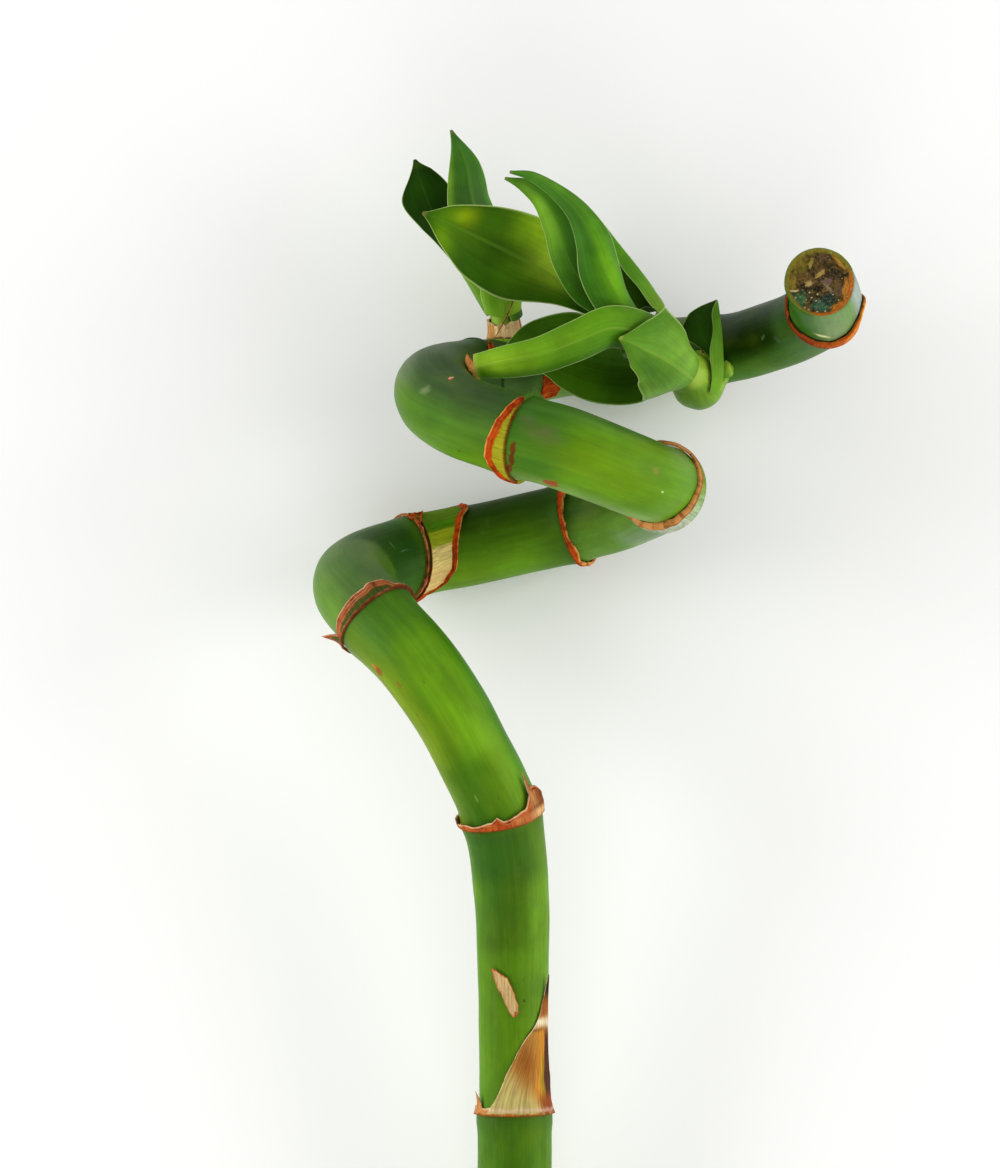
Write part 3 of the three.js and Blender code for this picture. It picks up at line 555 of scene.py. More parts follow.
# A sheath is rust at its torn edge and along its foot, with the tissue of the old leaf base between.
sheathLook = {
    "specular": 0.05, "rough": (0.5, [("fibres", 0.25)]), "relief": [("weave", 1)], "bump": 0.25,
    "clouds": {"patch": ("straight", (0.55, 0.55, 0.4), 4, 0.6), "wander": ("straight", 0.8, 3),
               "fibres": ("straight", (3.2, 3.2, 0.14), 4, 0.65)},
    "lines": ((2.6, 2.6, 0.16), 4, 0.65), "wander": 0.9, "bandEdge": (0.15, -0.15),
    "rust": [("patch", 0.36, 0.6, 1, "middle"), ("lines", 0.46, 0.66, 0.75, "light"),
             ("lines", 0.44, 0.3, 0.6, "dark")],
    "shades": [("fibres", 0.32, 0.68, 0.68, 1.22)], "footLayer": [("fromFoot", 0.45, 0.1, 0.75, "foot")],
    "fringe": (0.4, 0.05), "fringePatch": (0.4, 0.56, 0.15, 0.9),
}


def makeSheathMaterial(name, colours):
    material, tree, masks = newMaterial(name, sheathLook)
    masks["lines"] = fieldCloud(tree, colours["lines"], *sheathLook["lines"])
    masks["fromFoot"] = field(tree, "fromFoot")
    fromEdge = field(tree, "fromEdge")
    rust = paint(tree, colours["dark"], masks, sheathLook["rust"], colours)
    tissue = shade(tree, field(tree, "tissue", "Vector"), masks, sheathLook["shades"])
    wander = calc(tree, "MULTIPLY_ADD", masks["wander"], sheathLook["wander"], -sheathLook["wander"] / 2)
    bands = []
    for away, band in ((fromEdge, "band"), (masks["fromFoot"], "footBand")):
        beyond = calc(tree, "SUBTRACT", calc(tree, "ADD", away, wander), field(tree, band))
        bands.append(ramp(tree, beyond, *sheathLook["bandEdge"]))
    rusty = calc(tree, "MAXIMUM", *bands)
    colour = mixColour(tree, rusty, tissue, rust)
    colour = paint(tree, colour, masks, sheathLook["footLayer"], colours)
    fringe = calc(tree, "MULTIPLY", ramp(tree, fromEdge, *sheathLook["fringe"]),
                  ramp(tree, masks["patch"], *sheathLook["fringePatch"]))
    difference = calc(tree, "SUBTRACT", masks["lines"], masks["fibres"])
    masks["weave"] = calc(tree, "MULTIPLY_ADD", rusty, difference, masks["fibres"])
    return finishMaterial(material, sheathLook, masks, mixColour(tree, fringe, colour, colours["fringe"]))


leafLook = {
    "specular": 0.08, "rough": (0.28, [("veins", 0.16)]), "bump": 0.08,
    "relief": [("lines", 1), ("veins", 1)],
    "clouds": {"broad": ("place", 0.14, 4, 0.55), "veins": ("blade", (14, 0.9, 1), 3, 0.6),
               "lines": ("blade", (44, 1.1, 1), 2, 0.6)},
    "shades": [("broad", 0.34, 0.66, 0.84, 1.12), ("veins", 0.34, 0.68, 0.93, 1.07),
               ("lines", 0.34, 0.68, 0.96, 1.05)],
    "layers": [("across", 0.07, 0.015, 0.45, "vein"), ("across", 0.945, 1.0, 0.8, "margin"),
               ("tipward", 0.965, 0.995, 0.8, "tip")],
}


def makeLeafMaterial(name, colours):
    material, tree, masks = newMaterial(name, leafLook)
    masks["across"] = calc(tree, "ABSOLUTE", field(tree, "across"))
    masks["tipward"] = field(tree, "tipward")
    colour = shade(tree, field(tree, "tone", "Vector"), masks, leafLook["shades"])
    return finishMaterial(material, leafLook, masks, paint(tree, colour, masks, leafLook["layers"], colours))


# The stalk's skin, with its rings closer together near a node, and its end slid on to the top cut.
def stalkStations():
    at = [0.0]
    nodes = np.array(stalkNodes)
    while at[-1] < stalkStem["length"]:
        away = easeIn(np.abs(nodes - at[-1]).min(), *stalk["nodeReach"])
        step = stalk["nodeStep"] + (stalk["plainStep"] - stalk["nodeStep"]) * away
        at.append(at[-1] + float(step))
    return np.array(at)


def columnEnds(turn):  # where each column of the skin meets the top cut
    reach = np.arange(stalkStem["length"] - stalk["cutReach"], stalkStem["length"], stalk["cutStep"])
    along, angle = np.meshgrid(reach, turn, indexing="ij")
    centre, spread = raysFrom(stalkStem, along, angle)
    points = centre + spread * radiusOn(stalkStem, along)[..., None]
    beyond = (points - stalk["cutAt"]) @ unit(np.array(stalk["cutFacing"])) > 0
    return reach[np.argmax(beyond, axis=0)]


def makeStalkPiece(material):
    turn = np.radians(np.arange(stalk["sides"]) * 360 / stalk["sides"])
    ends = columnEnds(turn)
    bend = ends.min() - stalk["cutStretch"]
    stations = stalkStations()
    below = stations[stations < bend]
    share = np.concatenate([np.linspace(0, *stalk["endRows"]), stalk["lastRows"]])[:, None]
    along = np.vstack([np.repeat(below[:, None], len(turn), 1), bend + share * (ends - bend)])
    angle = np.broadcast_to(turn, along.shape)
    left = np.clip(1 - np.minimum(along, ends - along) / stalk["edgeRounding"], 0, 1)
    rounding = -stalk["edgeRounding"] * stalk["roundingDepth"] * (1 - np.sqrt(1 - left ** 2))
    centre, spread = raysFrom(stalkStem, along, angle)
    radius = radiusOn(stalkStem, along)
    straight = unroll(radius, angle, along)
    grooves = sum(bell(along - node - stalk["grooveAt"], stalk["grooveReach"]) for node in stalkNodes)
    out = radius + rounding - stalk["groove"] * grooves
    out = out + stalk["lump"] * lumps(straight, stalk["lumpSize"])
    out = out + stalk["flute"] * lumps(straight * stalk["fluteScale"], stalk["fluteSize"], stalk["fluteSeed"])
    points = centre + spread * out[..., None]
    gap = along[..., None] - np.array(stalkNodes)
    fields = {
        "straight": straight, "tone": skinToneAndPaintedLightOf(along, spread),
        "belowNode": np.exp(-np.where(gap <= 0, -gap, farAway).min(-1) / stalk["belowFade"]),
        "aboveNode": np.exp(-np.where(gap >= 0, gap, farAway).min(-1) / stalk["aboveFade"]),
    }
    addPiece("stalkSkin", points, gridFaces(*along.shape), material, "cane", fields)
    return points[0], points[-1]


# The two cut faces: rings that narrow from the rim to the middle, with a corky or a fibrous relief.
cutFaces = {
    "topCut": {"rings": 34, "relief": 0.7, "grain": 1.4, "coarse": 4.0, "dish": 0.45, "seed": 2.0,
               "facing": -1, "glintShare": 0.9, "patches": topPatches,
               "colours": {"dark": "150e08", "middle": "60481f", "light": "9a8048", "rim": "7a7020",
                           "warmRim": "b4641a"}},
    "footCut": {"rings": 20, "relief": 0.12, "grain": 0.9, "coarse": 3.0, "dish": 0.1, "seed": 5.0,
                "facing": 1, "glintShare": 0.0, "patches": [],
                "colours": {"dark": "b4ba7c", "middle": "d4d49c", "light": "e4e2bc", "rim": "7fa03c",
                            "warmRim": "7fa03c"}},
}
warmSide = (0.75, -0.66)  # the side of the top rim that has gone orange, right and up
cutRelief = {"plain": 0.5, "coarse": 0.35, "fine": 0.3, "fadeIn": (0.01, 0.16), "warm": (0.2, 0.8),
             "tiny": 1e-6}


def makeCutFace(name, rim):
    look = cutFaces[name]
    columns = len(rim)
    middle = rim.mean(0)
    facing = look["facing"] * unit(np.cross(rim[columns // 4] - middle, rim[0] - middle))
    sideways = unit(rightward - rightward @ facing * facing)
    upwards = np.cross(facing, sideways)
    share = (1 - np.arange(look["rings"]) / look["rings"])[:, None, None]
    points = middle + (rim - middle) * share
    away = points - middle
    flat = np.stack([away @ sideways, away @ upwards, np.zeros(points.shape[:2])], -1)
    inside = easeIn(1 - share[..., 0], *cutRelief["fadeIn"])
    depth = look["dish"] * inside + look["relief"] * inside * (
        cutRelief["plain"] + cutRelief["coarse"] * lumps(flat, look["coarse"], look["seed"])
        + cutRelief["fine"] * lumps(flat, look["grain"], look["seed"] + 1))
    points = points - facing * depth[..., None]
    rimShare = np.broadcast_to(share[..., 0], points.shape[:2])
    allPoints = np.vstack([points.reshape(-1, 3), points[-1].mean(0)])
    flat = np.vstack([flat.reshape(-1, 3), [0, 0, 0]])
    reach = np.linalg.norm(flat[:, :2], axis=1, keepdims=True)
    direction = flat[:, :2] / np.maximum(reach, cutRelief["tiny"])
    fields = {"flat": flat, "rim": np.append(rimShare.ravel(), 0),
              "orange": easeIn(direction @ warmSide, *cutRelief["warm"])}
    last = (look["rings"] - 1) * columns
    faces = gridFaces(look["rings"], columns)
    faces += [[last + i, last + (i + 1) % columns, len(allPoints) - 1] for i in range(columns)]
    if look["facing"] > 0:
        faces = [face[::-1] for face in faces]
    material = makeCutMaterial(name + "Look", look["colours"], look["patches"], look["glintShare"])
    addPiece(name, allPoints, faces, material, "cane", fields, sharp=180)


# The side stems and the bud grow from inside the stalk, with a small fillet at the joint.
stemShape = {"sides": 40, "step": 0.5, "fillet": 0.7, "filletReach": 1.4, "deepest": -1, "lump": 0.12,
             "lumpSize": 3.5, "tip": 0.5, "every": 4}
stemLook = {
    "specular": 0.16, "rough": (0.3, [("streak", 0.2)]), "relief": [("streak", 1)], "bump": 0.08,
    "clouds": {"streak": ("straight", (1.4, 1.4, 0.12), 3, 0.6)}, "base": "5c8c14",
    # The dark layer on the underside is painted shade; the lit oval is a painted highlight on the bulge of
    # the right shoot.
    "layers": [("streak", 0.38, 0.64, 1, "86ae26"), ("tipward", 0.1, 0.5, 0.6, "92b434"),
               ("facingUp", -0.1, -0.9, 0.7, "3c6c0a")],
    "lit": {"at": (37.0, 218.8, -21.5), "sizes": (3.6, 3.4, 4.0), "share": 0.9, "soft": 0.9, "ragged": 0.2},
    "litColour": "a0c044",
}


def stalkClearance(points):  # how far points are outside the stalk
    middles = stalkStem["centre"][::stemShape["every"]]
    distance = np.linalg.norm(points.reshape(-1, 3)[:, None] - middles[None], axis=2)
    return (distance - stalkStem["radius"][::stemShape["every"]]).min(1).reshape(points.shape[:-1])


def makeShootStem(name, stem, material):
    sides = stemShape["sides"]
    along, angle = np.meshgrid(np.linspace(0, stem["length"], int(stem["length"] / stemShape["step"])),
                               np.arange(sides) * 2 * math.pi / sides, indexing="ij")
    centre, spread = raysFrom(stem, along, angle)
    radius = radiusOn(stem, along)
    out = radius + stemShape["lump"] * lumps(centre + spread * radius[..., None], stemShape["lumpSize"])
    clear = stalkClearance(centre + spread * out[..., None])
    fillet = stemShape["fillet"] * np.exp(-np.maximum(clear, 0) / stemShape["filletReach"])
    out = out + fillet * (clear > stemShape["deepest"])
    out = out * np.sqrt(np.clip((stem["length"] - along) / (stemShape["tip"] * radius[-1, 0]), 0, 1))
    points = centre + spread * out[..., None]
    fields = {"straight": unroll(radius, angle, along), "place": points, "facingUp": spread @ up,
              "tipward": along / stem["length"]}
    addPiece(name, points, gridFaces(*along.shape), material, "cane", fields)


def makeShootStemMaterial():
    material, tree, masks = newMaterial("shootStemLook", stemLook)
    masks.update({key: field(tree, key) for key in ("tipward", "facingUp")})
    colour = paint(tree, stemLook["base"], masks, stemLook["layers"], {})
    lit = oval(tree, field(tree, "place", "Vector"), **stemLook["lit"])
    return finishMaterial(material, stemLook, masks, mixColour(tree, lit, colour, stemLook["litColour"]))


# Dried sheath remnants: ragged rings round the nodes. Heights are (angle, height) pairs from -180 to 180
# degrees, round from the side that towards gives. A lobe is angle, half width in degrees, rise and how far
# its tip stands out; a pocket is angle, width in degrees and how far it bulges. Body is added thickness, most
# at the angle and over the width of bodyAt. Band and footBand are the widths of the rust at the torn edge and
# at the foot; the tissue between has a colour from each angle on, and patches: angle, width, height above
# the foot, half height, colour and share. This dictionary is a plain ring, and each ring below alters it.
sheath = {
    "columns": 360, "seed": 40, "on": None, "finish": "red", "gap": 0.05, "foot": 0.42, "footReach": 1.2,
    "footThinning": 0.3, "footShare": 0.01, "rim": 0.12, "lip": 0.25, "crimp": 0.14, "crimpRing": 6,
    "crimpSize": 1.1, "crimpSeed": 3.0, "slant": 0, "slantAt": 0, "ragged": 0.4, "ripples": [(5, 1), (9, 2)],
    "fray": [(0.22, 0.3, 1.0), (0.07, 0.12, 2.0)], "leastHeight": 0.35, "minorTears": 3,
    "tears": [(0, 360), (1.2, 3), (0.15, 0.6)], "leastTorn": 0.4,
    "leastRows": 12, "rowLength": 0.45, "rowSpread": (-0.25, 1.12), "lobes": [], "pockets": [],
    "pocketTop": 0.85, "body": 0, "bodyAt": (0, 999), "leastBody": 0.15, "bead": 0, "beadAt": 0.55,
    "beadReach": 0.45, "band": farAway, "footBand": 0, "tissue": [(-180, "8a6a30")], "stopFade": 3,
    "patches": [], "fanFibres": 14, "fanLeast": 2, "turnOver": 0.5, "mereLine": (1.0, 0.45),
}
remnants = [
    {"node": 15, "towards": front, "heights": [(0, 1.6)]},
    {"node": 71, "towards": front, "finish": "paper", "lip": 0.15, "band": 0, "ragged": 0.25,
     "footBand": 0.55,
     "heights": [(-50, 1.5), (-39, 2), (-24, 5.1), (-10, 8.6), (4, 12.3), (14, 14.4), (26, 16.6), (37, 18.4),
                 (48, 21), (56, 23.8), (61, 27.8), (63, 27.8), (66, 21), (70, 14), (76, 8.5), (90, 4.2),
                 (105, 2), (125, 1.4)], "lobes": [(-66, 9, 3.4, 0.9), (62.5, 12, 0, 0.7)], "fan": (52, 24)},
    {"node": 131, "towards": front, "finish": "orange", "bead": 0.2, "lip": 0.5, "ragged": 0.5, "crimp": 0.3,
     "slant": 0.9, "slantAt": 225, "band": 0.9, "footBand": 0.3,
     "heights": [(-90, 1.6), (-30, 2), (-14, 2.6), (-6, 3.8), (2, 2.4), (20, 2), (35, 2.8), (44, 4.2),
                 (52, 5.6), (60, 5.9), (70, 5), (82, 3.4), (102, 1.6)],
     "lobes": [(53, 4, 3.6, 0.4), (-86, 6, 1.6, 0.1)], "pockets": [(70, 17, 0.9)],
     "tissue": [(-180, "a8501e"), (48, "945c30"), (60, "7c4420"), (84, "a86838")],
     # The pale patch at 56 degrees is a painted highlight on the lobe.
     "patches": [(56, 6, 3.6, 2, "cc9058", 0.8), (70, 12, 3.4, 1.4, "743c1a", 0.85),
                 (0, 9, 1.5, 1.2, "a8381a", 0.8), (64, 20, 1.0, 0.8, "dcb078", 0.9),
                 (64, 22, 2.1, 0.3, "642c10", 0.8), (24, 8, 1.2, 0.8, "cc8850", 0.7)]},
    {"node": 180.3, "towards": front, "finish": "brown", "slant": 2.1, "slantAt": 190, "bead": 0.25,
     "heights": [(-100, 1.2), (-78, 1.3), (-55, 2.2), (-20, 3), (35, 3.4), (46, 3), (54, 1.2)],
     "ragged": 0.15, "lobes": [(-75, 11, 4, 2.0)], "band": 1.6, "footBand": 0.45,
     "tissue": [(-180, "3f4c18")]},
    {"node": 217.2, "towards": up, "heights": [(0, 0.6)], "lip": 0.1, "slant": 2, "ragged": 0.3,
     "finish": "brown"},
    {"node": 218.5, "towards": up, "slant": 2, "ragged": 0.3, "finish": "red", "bead": 0.35, "band": 1.7,
     "heights": [(-60, 1.4), (-35, 6), (-10, 12), (18, 12.6), (53, 10.8), (78, 9.6), (119, 9), (135, 7.4),
                 (146, 1.4)], "footBand": 0.2,
     "tissue": [(-180, "5c7c12"), (40, "4c7c0a"), (57, "94a01c"), (80, "dcc478"), (110, "d4b470")]},
    {"node": 254, "towards": up, "heights": [(0, 1.6)], "finish": "red", "bead": 0.3, "body": 0.2,
     "lobes": [(50, 8, 0.9, 0.9)]},
    {"node": 288, "towards": up, "ragged": 0.2, "finish": "tan", "bead": 0.4, "band": 2.1, "footBand": 0.3,
     "heights": [(-180, 6.2), (-159, 7), (-135, 6.4), (-116, 5.6), (-100, 4.6), (-84, 3.9), (-63, 2.9),
                 (-36, 2.2), (0, 1.8), (20, 2.2), (130, 2.4), (155, 4), (180, 6.2)], "body": 0.95,
     "bodyAt": (-168, 55), "lip": 0.1,
     "tissue": [(-180, "a4ae94"), (-140, "94a880"), (-118, "84a064"), (-102, "749840"), (-88, "5f8c24"),
                (140, "94a484")]},
    {"node": 328.3, "towards": front, "ragged": 0.2, "finish": "red", "bead": 0.35, "band": 1.4,
     "footBand": 0.1,
     "heights": [(-100, 0.6), (-72, 2.4), (-43, 3.9), (-25, 3.4), (0, 2.8), (26, 2), (50, 1.2), (60, 0.2)],
     "tissue": [(-180, "98941c"), (54, "3f6418")]},
    {"node": 384, "towards": up, "ragged": 0.05, "finish": "brown", "lip": 0, "body": -0.3,
     "tissue": [(-180, "344c2c")],
     "heights": [(-180, 0.9), (-125, 0.9), (-100, 0.2), (125, 0.2), (150, 0.9), (180, 0.9)]},
    {"node": 437, "towards": up, "heights": [(0, 1.3)], "ragged": 0.5, "finish": "brown"},
    {"node": 471.6, "towards": up, "ragged": 0.3, "finish": "bright", "bead": 0.3, "band": 0, "lip": 0.3,
     "slant": 0.6, "slantAt": 180,
     "heights": [(-180, 2), (-150, 3.2), (-120, 5.6), (-95, 7), (-80, 5), (-60, 2), (108, 1.5), (150, 1.8),
                 (180, 2)], "body": 0.3, "bodyAt": (-165, 60),
     "tissue": [(-180, "ac4e16"), (-150, "c47420"), (-120, "d89430"), (-95, "c47c2c"), (-60, "8c4a1c"),
                (60, "66280f"), (120, "7c3012"), (160, "984014")]},
    {"node": 8.1, "on": "leftShootStem", "towards": front, "heights": [(0, 5)], "slant": 0.9, "slantAt": 180,
     "ragged": 0.3, "finish": "paper", "band": 0, "footBand": 0.5, "body": 0.3, "lip": 0.4,
     "tissue": [(-180, "a86c34"), (-75, "c08c50"), (-35, "e0bc84"), (35, "dcb07c"), (62, "b46c30")]},
]
# Each finish: which way the rust's lines run, its dark, middle and light colour, its foot and its fringe.
finishParts = ("lines", "dark", "middle", "light", "foot", "fringe")
sheathFinishes = {
    "red": ("rolled", "7a2006", "b4400a", "c8641c", "4a1c08", "cc9c50"),
    "orange": ("rolled", "7a2c0e", "b05a26", "d89a66", "6a240a", "e0ba90"),
    "bright": ("rolled", "9a4408", "c8660e", "dc9438", "64280a", "9c4416"),
    "brown": ("rolled", "5c2410", "9c542a", "cc9468", "4c1c0a", "d0a888"),
    "tan": ("rolled", "6c3410", "a25c22", "cc924c", "5c2c10", "c88c50"),
    "paper": ("straight", "74401a", "a86828", "cfa468", "6c2c10", "dcc498"),
}
# Tones of the tall papery flap of the second node, one over the other: colour, share and where it is, each as
# a measure (turn in degrees, rise in mm, or a slope of both), a shape and its two numbers.
flapTones = [
    ("ac7c38", 1, []), ("b8ac68", 0.85, [("slope", easeIn, 10.5, 3.5)]),
    ("8e4e1a", 0.8, [("rise", near, 10.5, 4.4), ("turn", near, 20, 17)]),
    ("cc8420", 0.65, [("turn", easeIn, 28, 52), ("rise", easeIn, 1.5, 5)]),
    ("e4d8b4", 1, [("rise", near, 18.6, 0.9)]), ("6c3c14", 0.8, [("rise", near, 17.1, 0.3)]),
    ("a05e28", 1, [("rise", easeIn, 19, 20.2)]),
    ("4c7410", 0.6, [("turn", easeIn, 49, 53), ("turn", easeIn, 60, 56), ("rise", easeIn, 13, 10),
                     ("rise", easeIn, 3, 4)]),
    ("4c2c20", 1, [("turn", easeIn, 56, 60), ("rise", easeIn, 19, 15)]),
    ("8c421c", 0.9, [("turn", easeIn, 38, 50), ("rise", easeIn, 5.5, 2.5)]),
    ("dcb89c", 0.55, [("rise", near, 1.2, 0.35)]), ("bc7c48", 1, [("turn", easeIn, -38, -50)]),
    ("2e2a18", 1, [("rise", easeIn, 22, 25)]),
]
flapWander = {"cell": (8, 2), "turn": (3, 1.6, 5.0), "rise": (0.25, 1.8, 3.0), "slope": 0.12}


def tissueOf(look, wrapped, rise):
    tissue = np.broadcast_to(rgb(look["tissue"][0][1]), rise.shape + (3,))
    for at, hexColour in look["tissue"][1:]:
        cover = easeIn(wrapped, at - look["stopFade"], at + look["stopFade"])
        tissue = layOver(tissue, np.broadcast_to(cover, rise.shape), hexColour)
    for at, wide, level, tall, hexColour, share in look["patches"]:
        cover = share * bell(turnAway(wrapped, at), wide) * bell(rise - level, tall)
        tissue = layOver(tissue, cover, hexColour)
    if "fan" not in look:
        return tissue
    perTurn, perRise = flapWander["cell"]
    spots = np.stack([np.broadcast_to(wrapped / perTurn, rise.shape), rise / perRise, 0 * rise], -1)
    wrapped, rise = (value + flapWander[key][0] * lumps(spots, *flapWander[key][1:])
                     for key, value in (("turn", wrapped), ("rise", rise)))
    measures = {"turn": wrapped, "rise": rise, "slope": rise + flapWander["slope"] * wrapped}
    for hexColour, share, spans in flapTones:
        cover = np.full(rise.shape, float(share))
        for measure, shape, first, second in spans:
            cover = cover * shape(measures[measure], first, second)
        tissue = layOver(tissue, cover, hexColour)
    return tissue


def sheathHeight(look, turn, random):
    angle = np.radians(turn)
    node = look["node"]
    lobeRise = np.zeros_like(turn)
    flare = np.zeros_like(turn)
    for at, wide, rise, out in look["lobes"]:
        share = np.maximum(0, 1 - np.abs(turnAway(turn, at)) / wide)
        lobeRise += rise * share
        flare += out * share ** 2
    ripples = sum(np.sin(count * angle + start * node) for count, start in look["ripples"])
    ripple = look["ragged"] * ripples / len(look["ripples"])
    fray = sum(depth * lumps(unroll(1, angle, node), size, seed) for depth, size, seed in look["fray"])
    plain = np.interp(turnAway(turn, 0), *zip(*look["heights"]))
    height = np.maximum(look["leastHeight"], plain + ripple + fray) + lobeRise
    for _ in range(look["minorTears"]):  # short tears down from the edge
        at, wide, depth = (random.uniform(*limits) for limits in look["tears"])
        tear = depth * np.maximum(0, 1 - np.abs(turnAway(turn, at)) / wide)
        height = np.maximum(look["leastTorn"], height - tear)
    return height, plain, flare


def sheathFields(straight, rolled, tissue, fromEdge, fromFoot, band, footBand=0):
    flat = {"fromEdge": fromEdge, "fromFoot": fromFoot, "band": band, "footBand": footBand}
    fields = {key: np.broadcast_to(value, straight.shape[:2]) for key, value in flat.items()}
    fields["tissue"] = np.broadcast_to(tissue, straight.shape)
    return {"straight": straight, "rolled": rolled, **fields}


def makeRemnant(index, remnant, materials):
    look = {**sheath, **remnant}
    stem = shootStems.get(look["on"], stalkStem)
    turn = np.arange(look["columns"]) * 360 / look["columns"]
    wrapped = turnAway(turn, 0)
    angle = np.radians(turn)
    height, plain, flare = sheathHeight(look, turn, np.random.default_rng(look["seed"] + index))
    foot = look["node"] + look["slant"] * np.cos(angle - math.radians(look["slantAt"]))
    rowCount = max(look["leastRows"], int(height.max() / look["rowLength"]))
    rows = easeIn(np.linspace(0, 1, rowCount), *look["rowSpread"])
    rows = (rows - rows[0]) / (rows[-1] - rows[0])
    share = np.concatenate([rows, rows[::-1]])[:, None]  # up the inner face, down the outer one
    outer = np.repeat([0.0, 1.0], rowCount)[:, None]
    rise = share * height
    fromEdge = height - rise
    along = foot + rise
    centre, spread = raysFrom(stem, along, angle, look["towards"])
    radius = radiusOn(stem, np.minimum(along, foot + plain))
    spots = unroll(look["crimpRing"], angle, look["node"])
    crimp = look["crimp"] * lumps(spots, look["crimpSize"], look["crimpSeed"])
    bulge = 0 * turn
    for at, wide, out in look["pockets"]:
        bulge = bulge + out * bell(turnAway(turn, at), wide)
    out = radius + look["gap"] + look["lip"] * share ** 2 + crimp * share
    out = out + bulge * np.sin(math.pi * np.minimum(share * look["pocketTop"], 1)) + flare * share ** 2
    at, wide = look["bodyAt"]
    least = look["leastBody"]
    body = look["body"] * (least + (1 - least) * bell(turnAway(turn, at), wide))
    thick = look["foot"] * np.exp(-rise / look["footReach"]) + look["rim"] + body
    out = out + outer * (thick + look["bead"] * bell(fromEdge - look["beadAt"], look["beadReach"]))
    out = out - look["footThinning"] * (share < look["footShare"]) * outer  # thins into the node
    points = centre + spread * out[..., None]
    straight = unroll(radius, angle, along)
    if "fan" in look:  # fibres that meet at one point of the flap
        at, above = look["fan"]
        beside, below = radius * np.radians(turnAway(turn, at)), np.maximum(above - rise, look["fanLeast"])
        straight = np.stack([look["fanFibres"] * np.arctan2(beside, below), 0 * rise, along], -1)
    thin = np.broadcast_to(easeIn(height, *look["mereLine"]), along.shape)  # takes the tissue's colour
    wayRound = radius * np.radians(np.abs(wrapped))
    rolled = np.stack([fromEdge, look["turnOver"] * outer + 0 * along, wayRound], -1)
    fields = sheathFields(straight, rolled, tissueOf(look, wrapped, rise), fromEdge + thin, rise + thin,
                          look["band"] * (1 - thin), look["footBand"])
    loops, columns = along.shape
    faces = [[vertex % (loops * columns) for vertex in face][::-1] for face in gridFaces(loops + 1, columns)]
    addPiece(f"sheath{index + 1:02d}", points, faces, materials[look["finish"]],
             f"sheath_remnant_{index + 1:02d}", fields, sharp=70)


# Small dry flakes on the skin: place along and angle of the middle, corners as mm along and round from it,
# finish, tissue, width of the rust along the edge, and how far the edge curls up.
flakeShape = {"rings": 12, "sides": 60, "lift": 0.1, "thick": 0.14, "ragged": 0.06, "raggedSize": 0.7,
              "ripple": 0.12, "rippleSize": 0.8, "rippleSeed": 6.0, "curlPower": 6, "curlLeast": 0.5,
              "fromEdge": 0.35, "fromFoot": 9}
skinFlakes = {
    "paleScar": {"at": (96.1, -11.5), "finish": "orange", "tissue": "c6a670", "band": 0.6, "curl": 0.3,
                 "corners": [
        (4.5, -2.9), (4.0, -1.5), (2.7, 0.3), (1.2, 1.1), (-2.5, 2.3), (-4.6, 2.5), (-5.5, 1.5), (-4.3, 0.7),
        (-1.0, -0.7), (1.2, -1.8), (3.0, -2.5)]},
    "redTuft": {"at": (219.8, 52), "finish": "red", "tissue": "8a4a1c", "band": 9, "curl": 0.5, "corners": [
        (-1.5, -1.1), (0.2, -1.4), (3.1, -2.1), (0.5, 1.6), (-1.5, 3.1), (-1.0, 1.1)]},
    "redPatch": {"at": (399.0, 68), "finish": "red", "tissue": "9a5a30", "band": 9, "curl": 0.3, "corners": [
        (-1.5, -2.8), (0.6, -2.2), (2.6, -0.6), (3.0, 1.4), (2.2, 2.8), (-0.5, 3.3), (-2.2, 1.7),
        (-1.8, -0.5)]},
    "orangeCurl": {"at": (363.5, 11), "finish": "bright", "tissue": "f4a860", "band": 0.3, "curl": 0.9,
                   "corners": [
        (3.0, -1.8), (1.5, -0.6), (2.0, 2.4), (-1.0, 3.0), (-5.0, 0.2), (-2.0, -0.8), (1.0, -1.6)]},
    "redSliver": {"at": (383.0, -8), "finish": "red", "tissue": "9a3a10", "band": 9, "curl": 0.5, "corners": [
        (1.6, -1.6), (1.0, 0.2), (-0.7, 1.7), (-1.5, 1.2), (-0.1, -0.6)]},
}


def makeFlake(name, flake, materials):
    rings, sides = flakeShape["rings"], flakeShape["sides"]
    share = (1 - np.arange(rings) / rings)[:, None]
    corners = np.array(flake["corners"] + flake["corners"][:1])
    run = runOf(corners)
    spot = np.arange(sides) / sides * run[-1]
    outline = np.stack([np.interp(spot, run, corners[:, k]) for k in (0, 1)] + [0 * spot], -1)
    ragged = 1 + flakeShape["ragged"] * lumps(outline, flakeShape["raggedSize"], len(name))
    width = np.ptp(corners, axis=0).min() / 2
    alongOffset, roundOffset = (outline[:, k] * ragged * share for k in (0, 1))
    startAlong, startTurn = flake["at"]
    along = startAlong + alongOffset
    radius = radiusOn(stalkStem, along)
    angle = math.radians(startTurn) + roundOffset / radius
    centre, spread = raysFrom(stalkStem, along, angle)
    uneven = flakeShape["curlLeast"] + (1 - flakeShape["curlLeast"]) * ragged
    curl = flake["curl"] * share ** flakeShape["curlPower"] * uneven
    raised = radius + flakeShape["lift"] + stalk["lump"] + curl
    spots = np.stack([alongOffset, roundOffset, 0 * along], -1)
    ripples = lumps(spots, flakeShape["rippleSize"], flakeShape["rippleSeed"])
    raised = raised + flakeShape["ripple"] * ripples
    top, under = (centre + spread * (raised + side * flakeShape["thick"])[..., None] for side in (1, -1))
    points = np.vstack([under[::-1], top])
    shares = np.vstack([share[::-1], share]) * np.ones(sides)
    straight = unroll(radius, angle, along)
    both = np.vstack([straight[::-1], straight])
    fields = sheathFields(both, both, rgb(flake["tissue"]), (1 - shares) * width + flakeShape["fromEdge"],
                          flakeShape["fromFoot"], flake["band"])
    faces = [face[::-1] for face in closedTube(2 * rings, sides)]
    addPiece(name, points, faces, materials[flake["finish"]], None, fields, sharp=60)


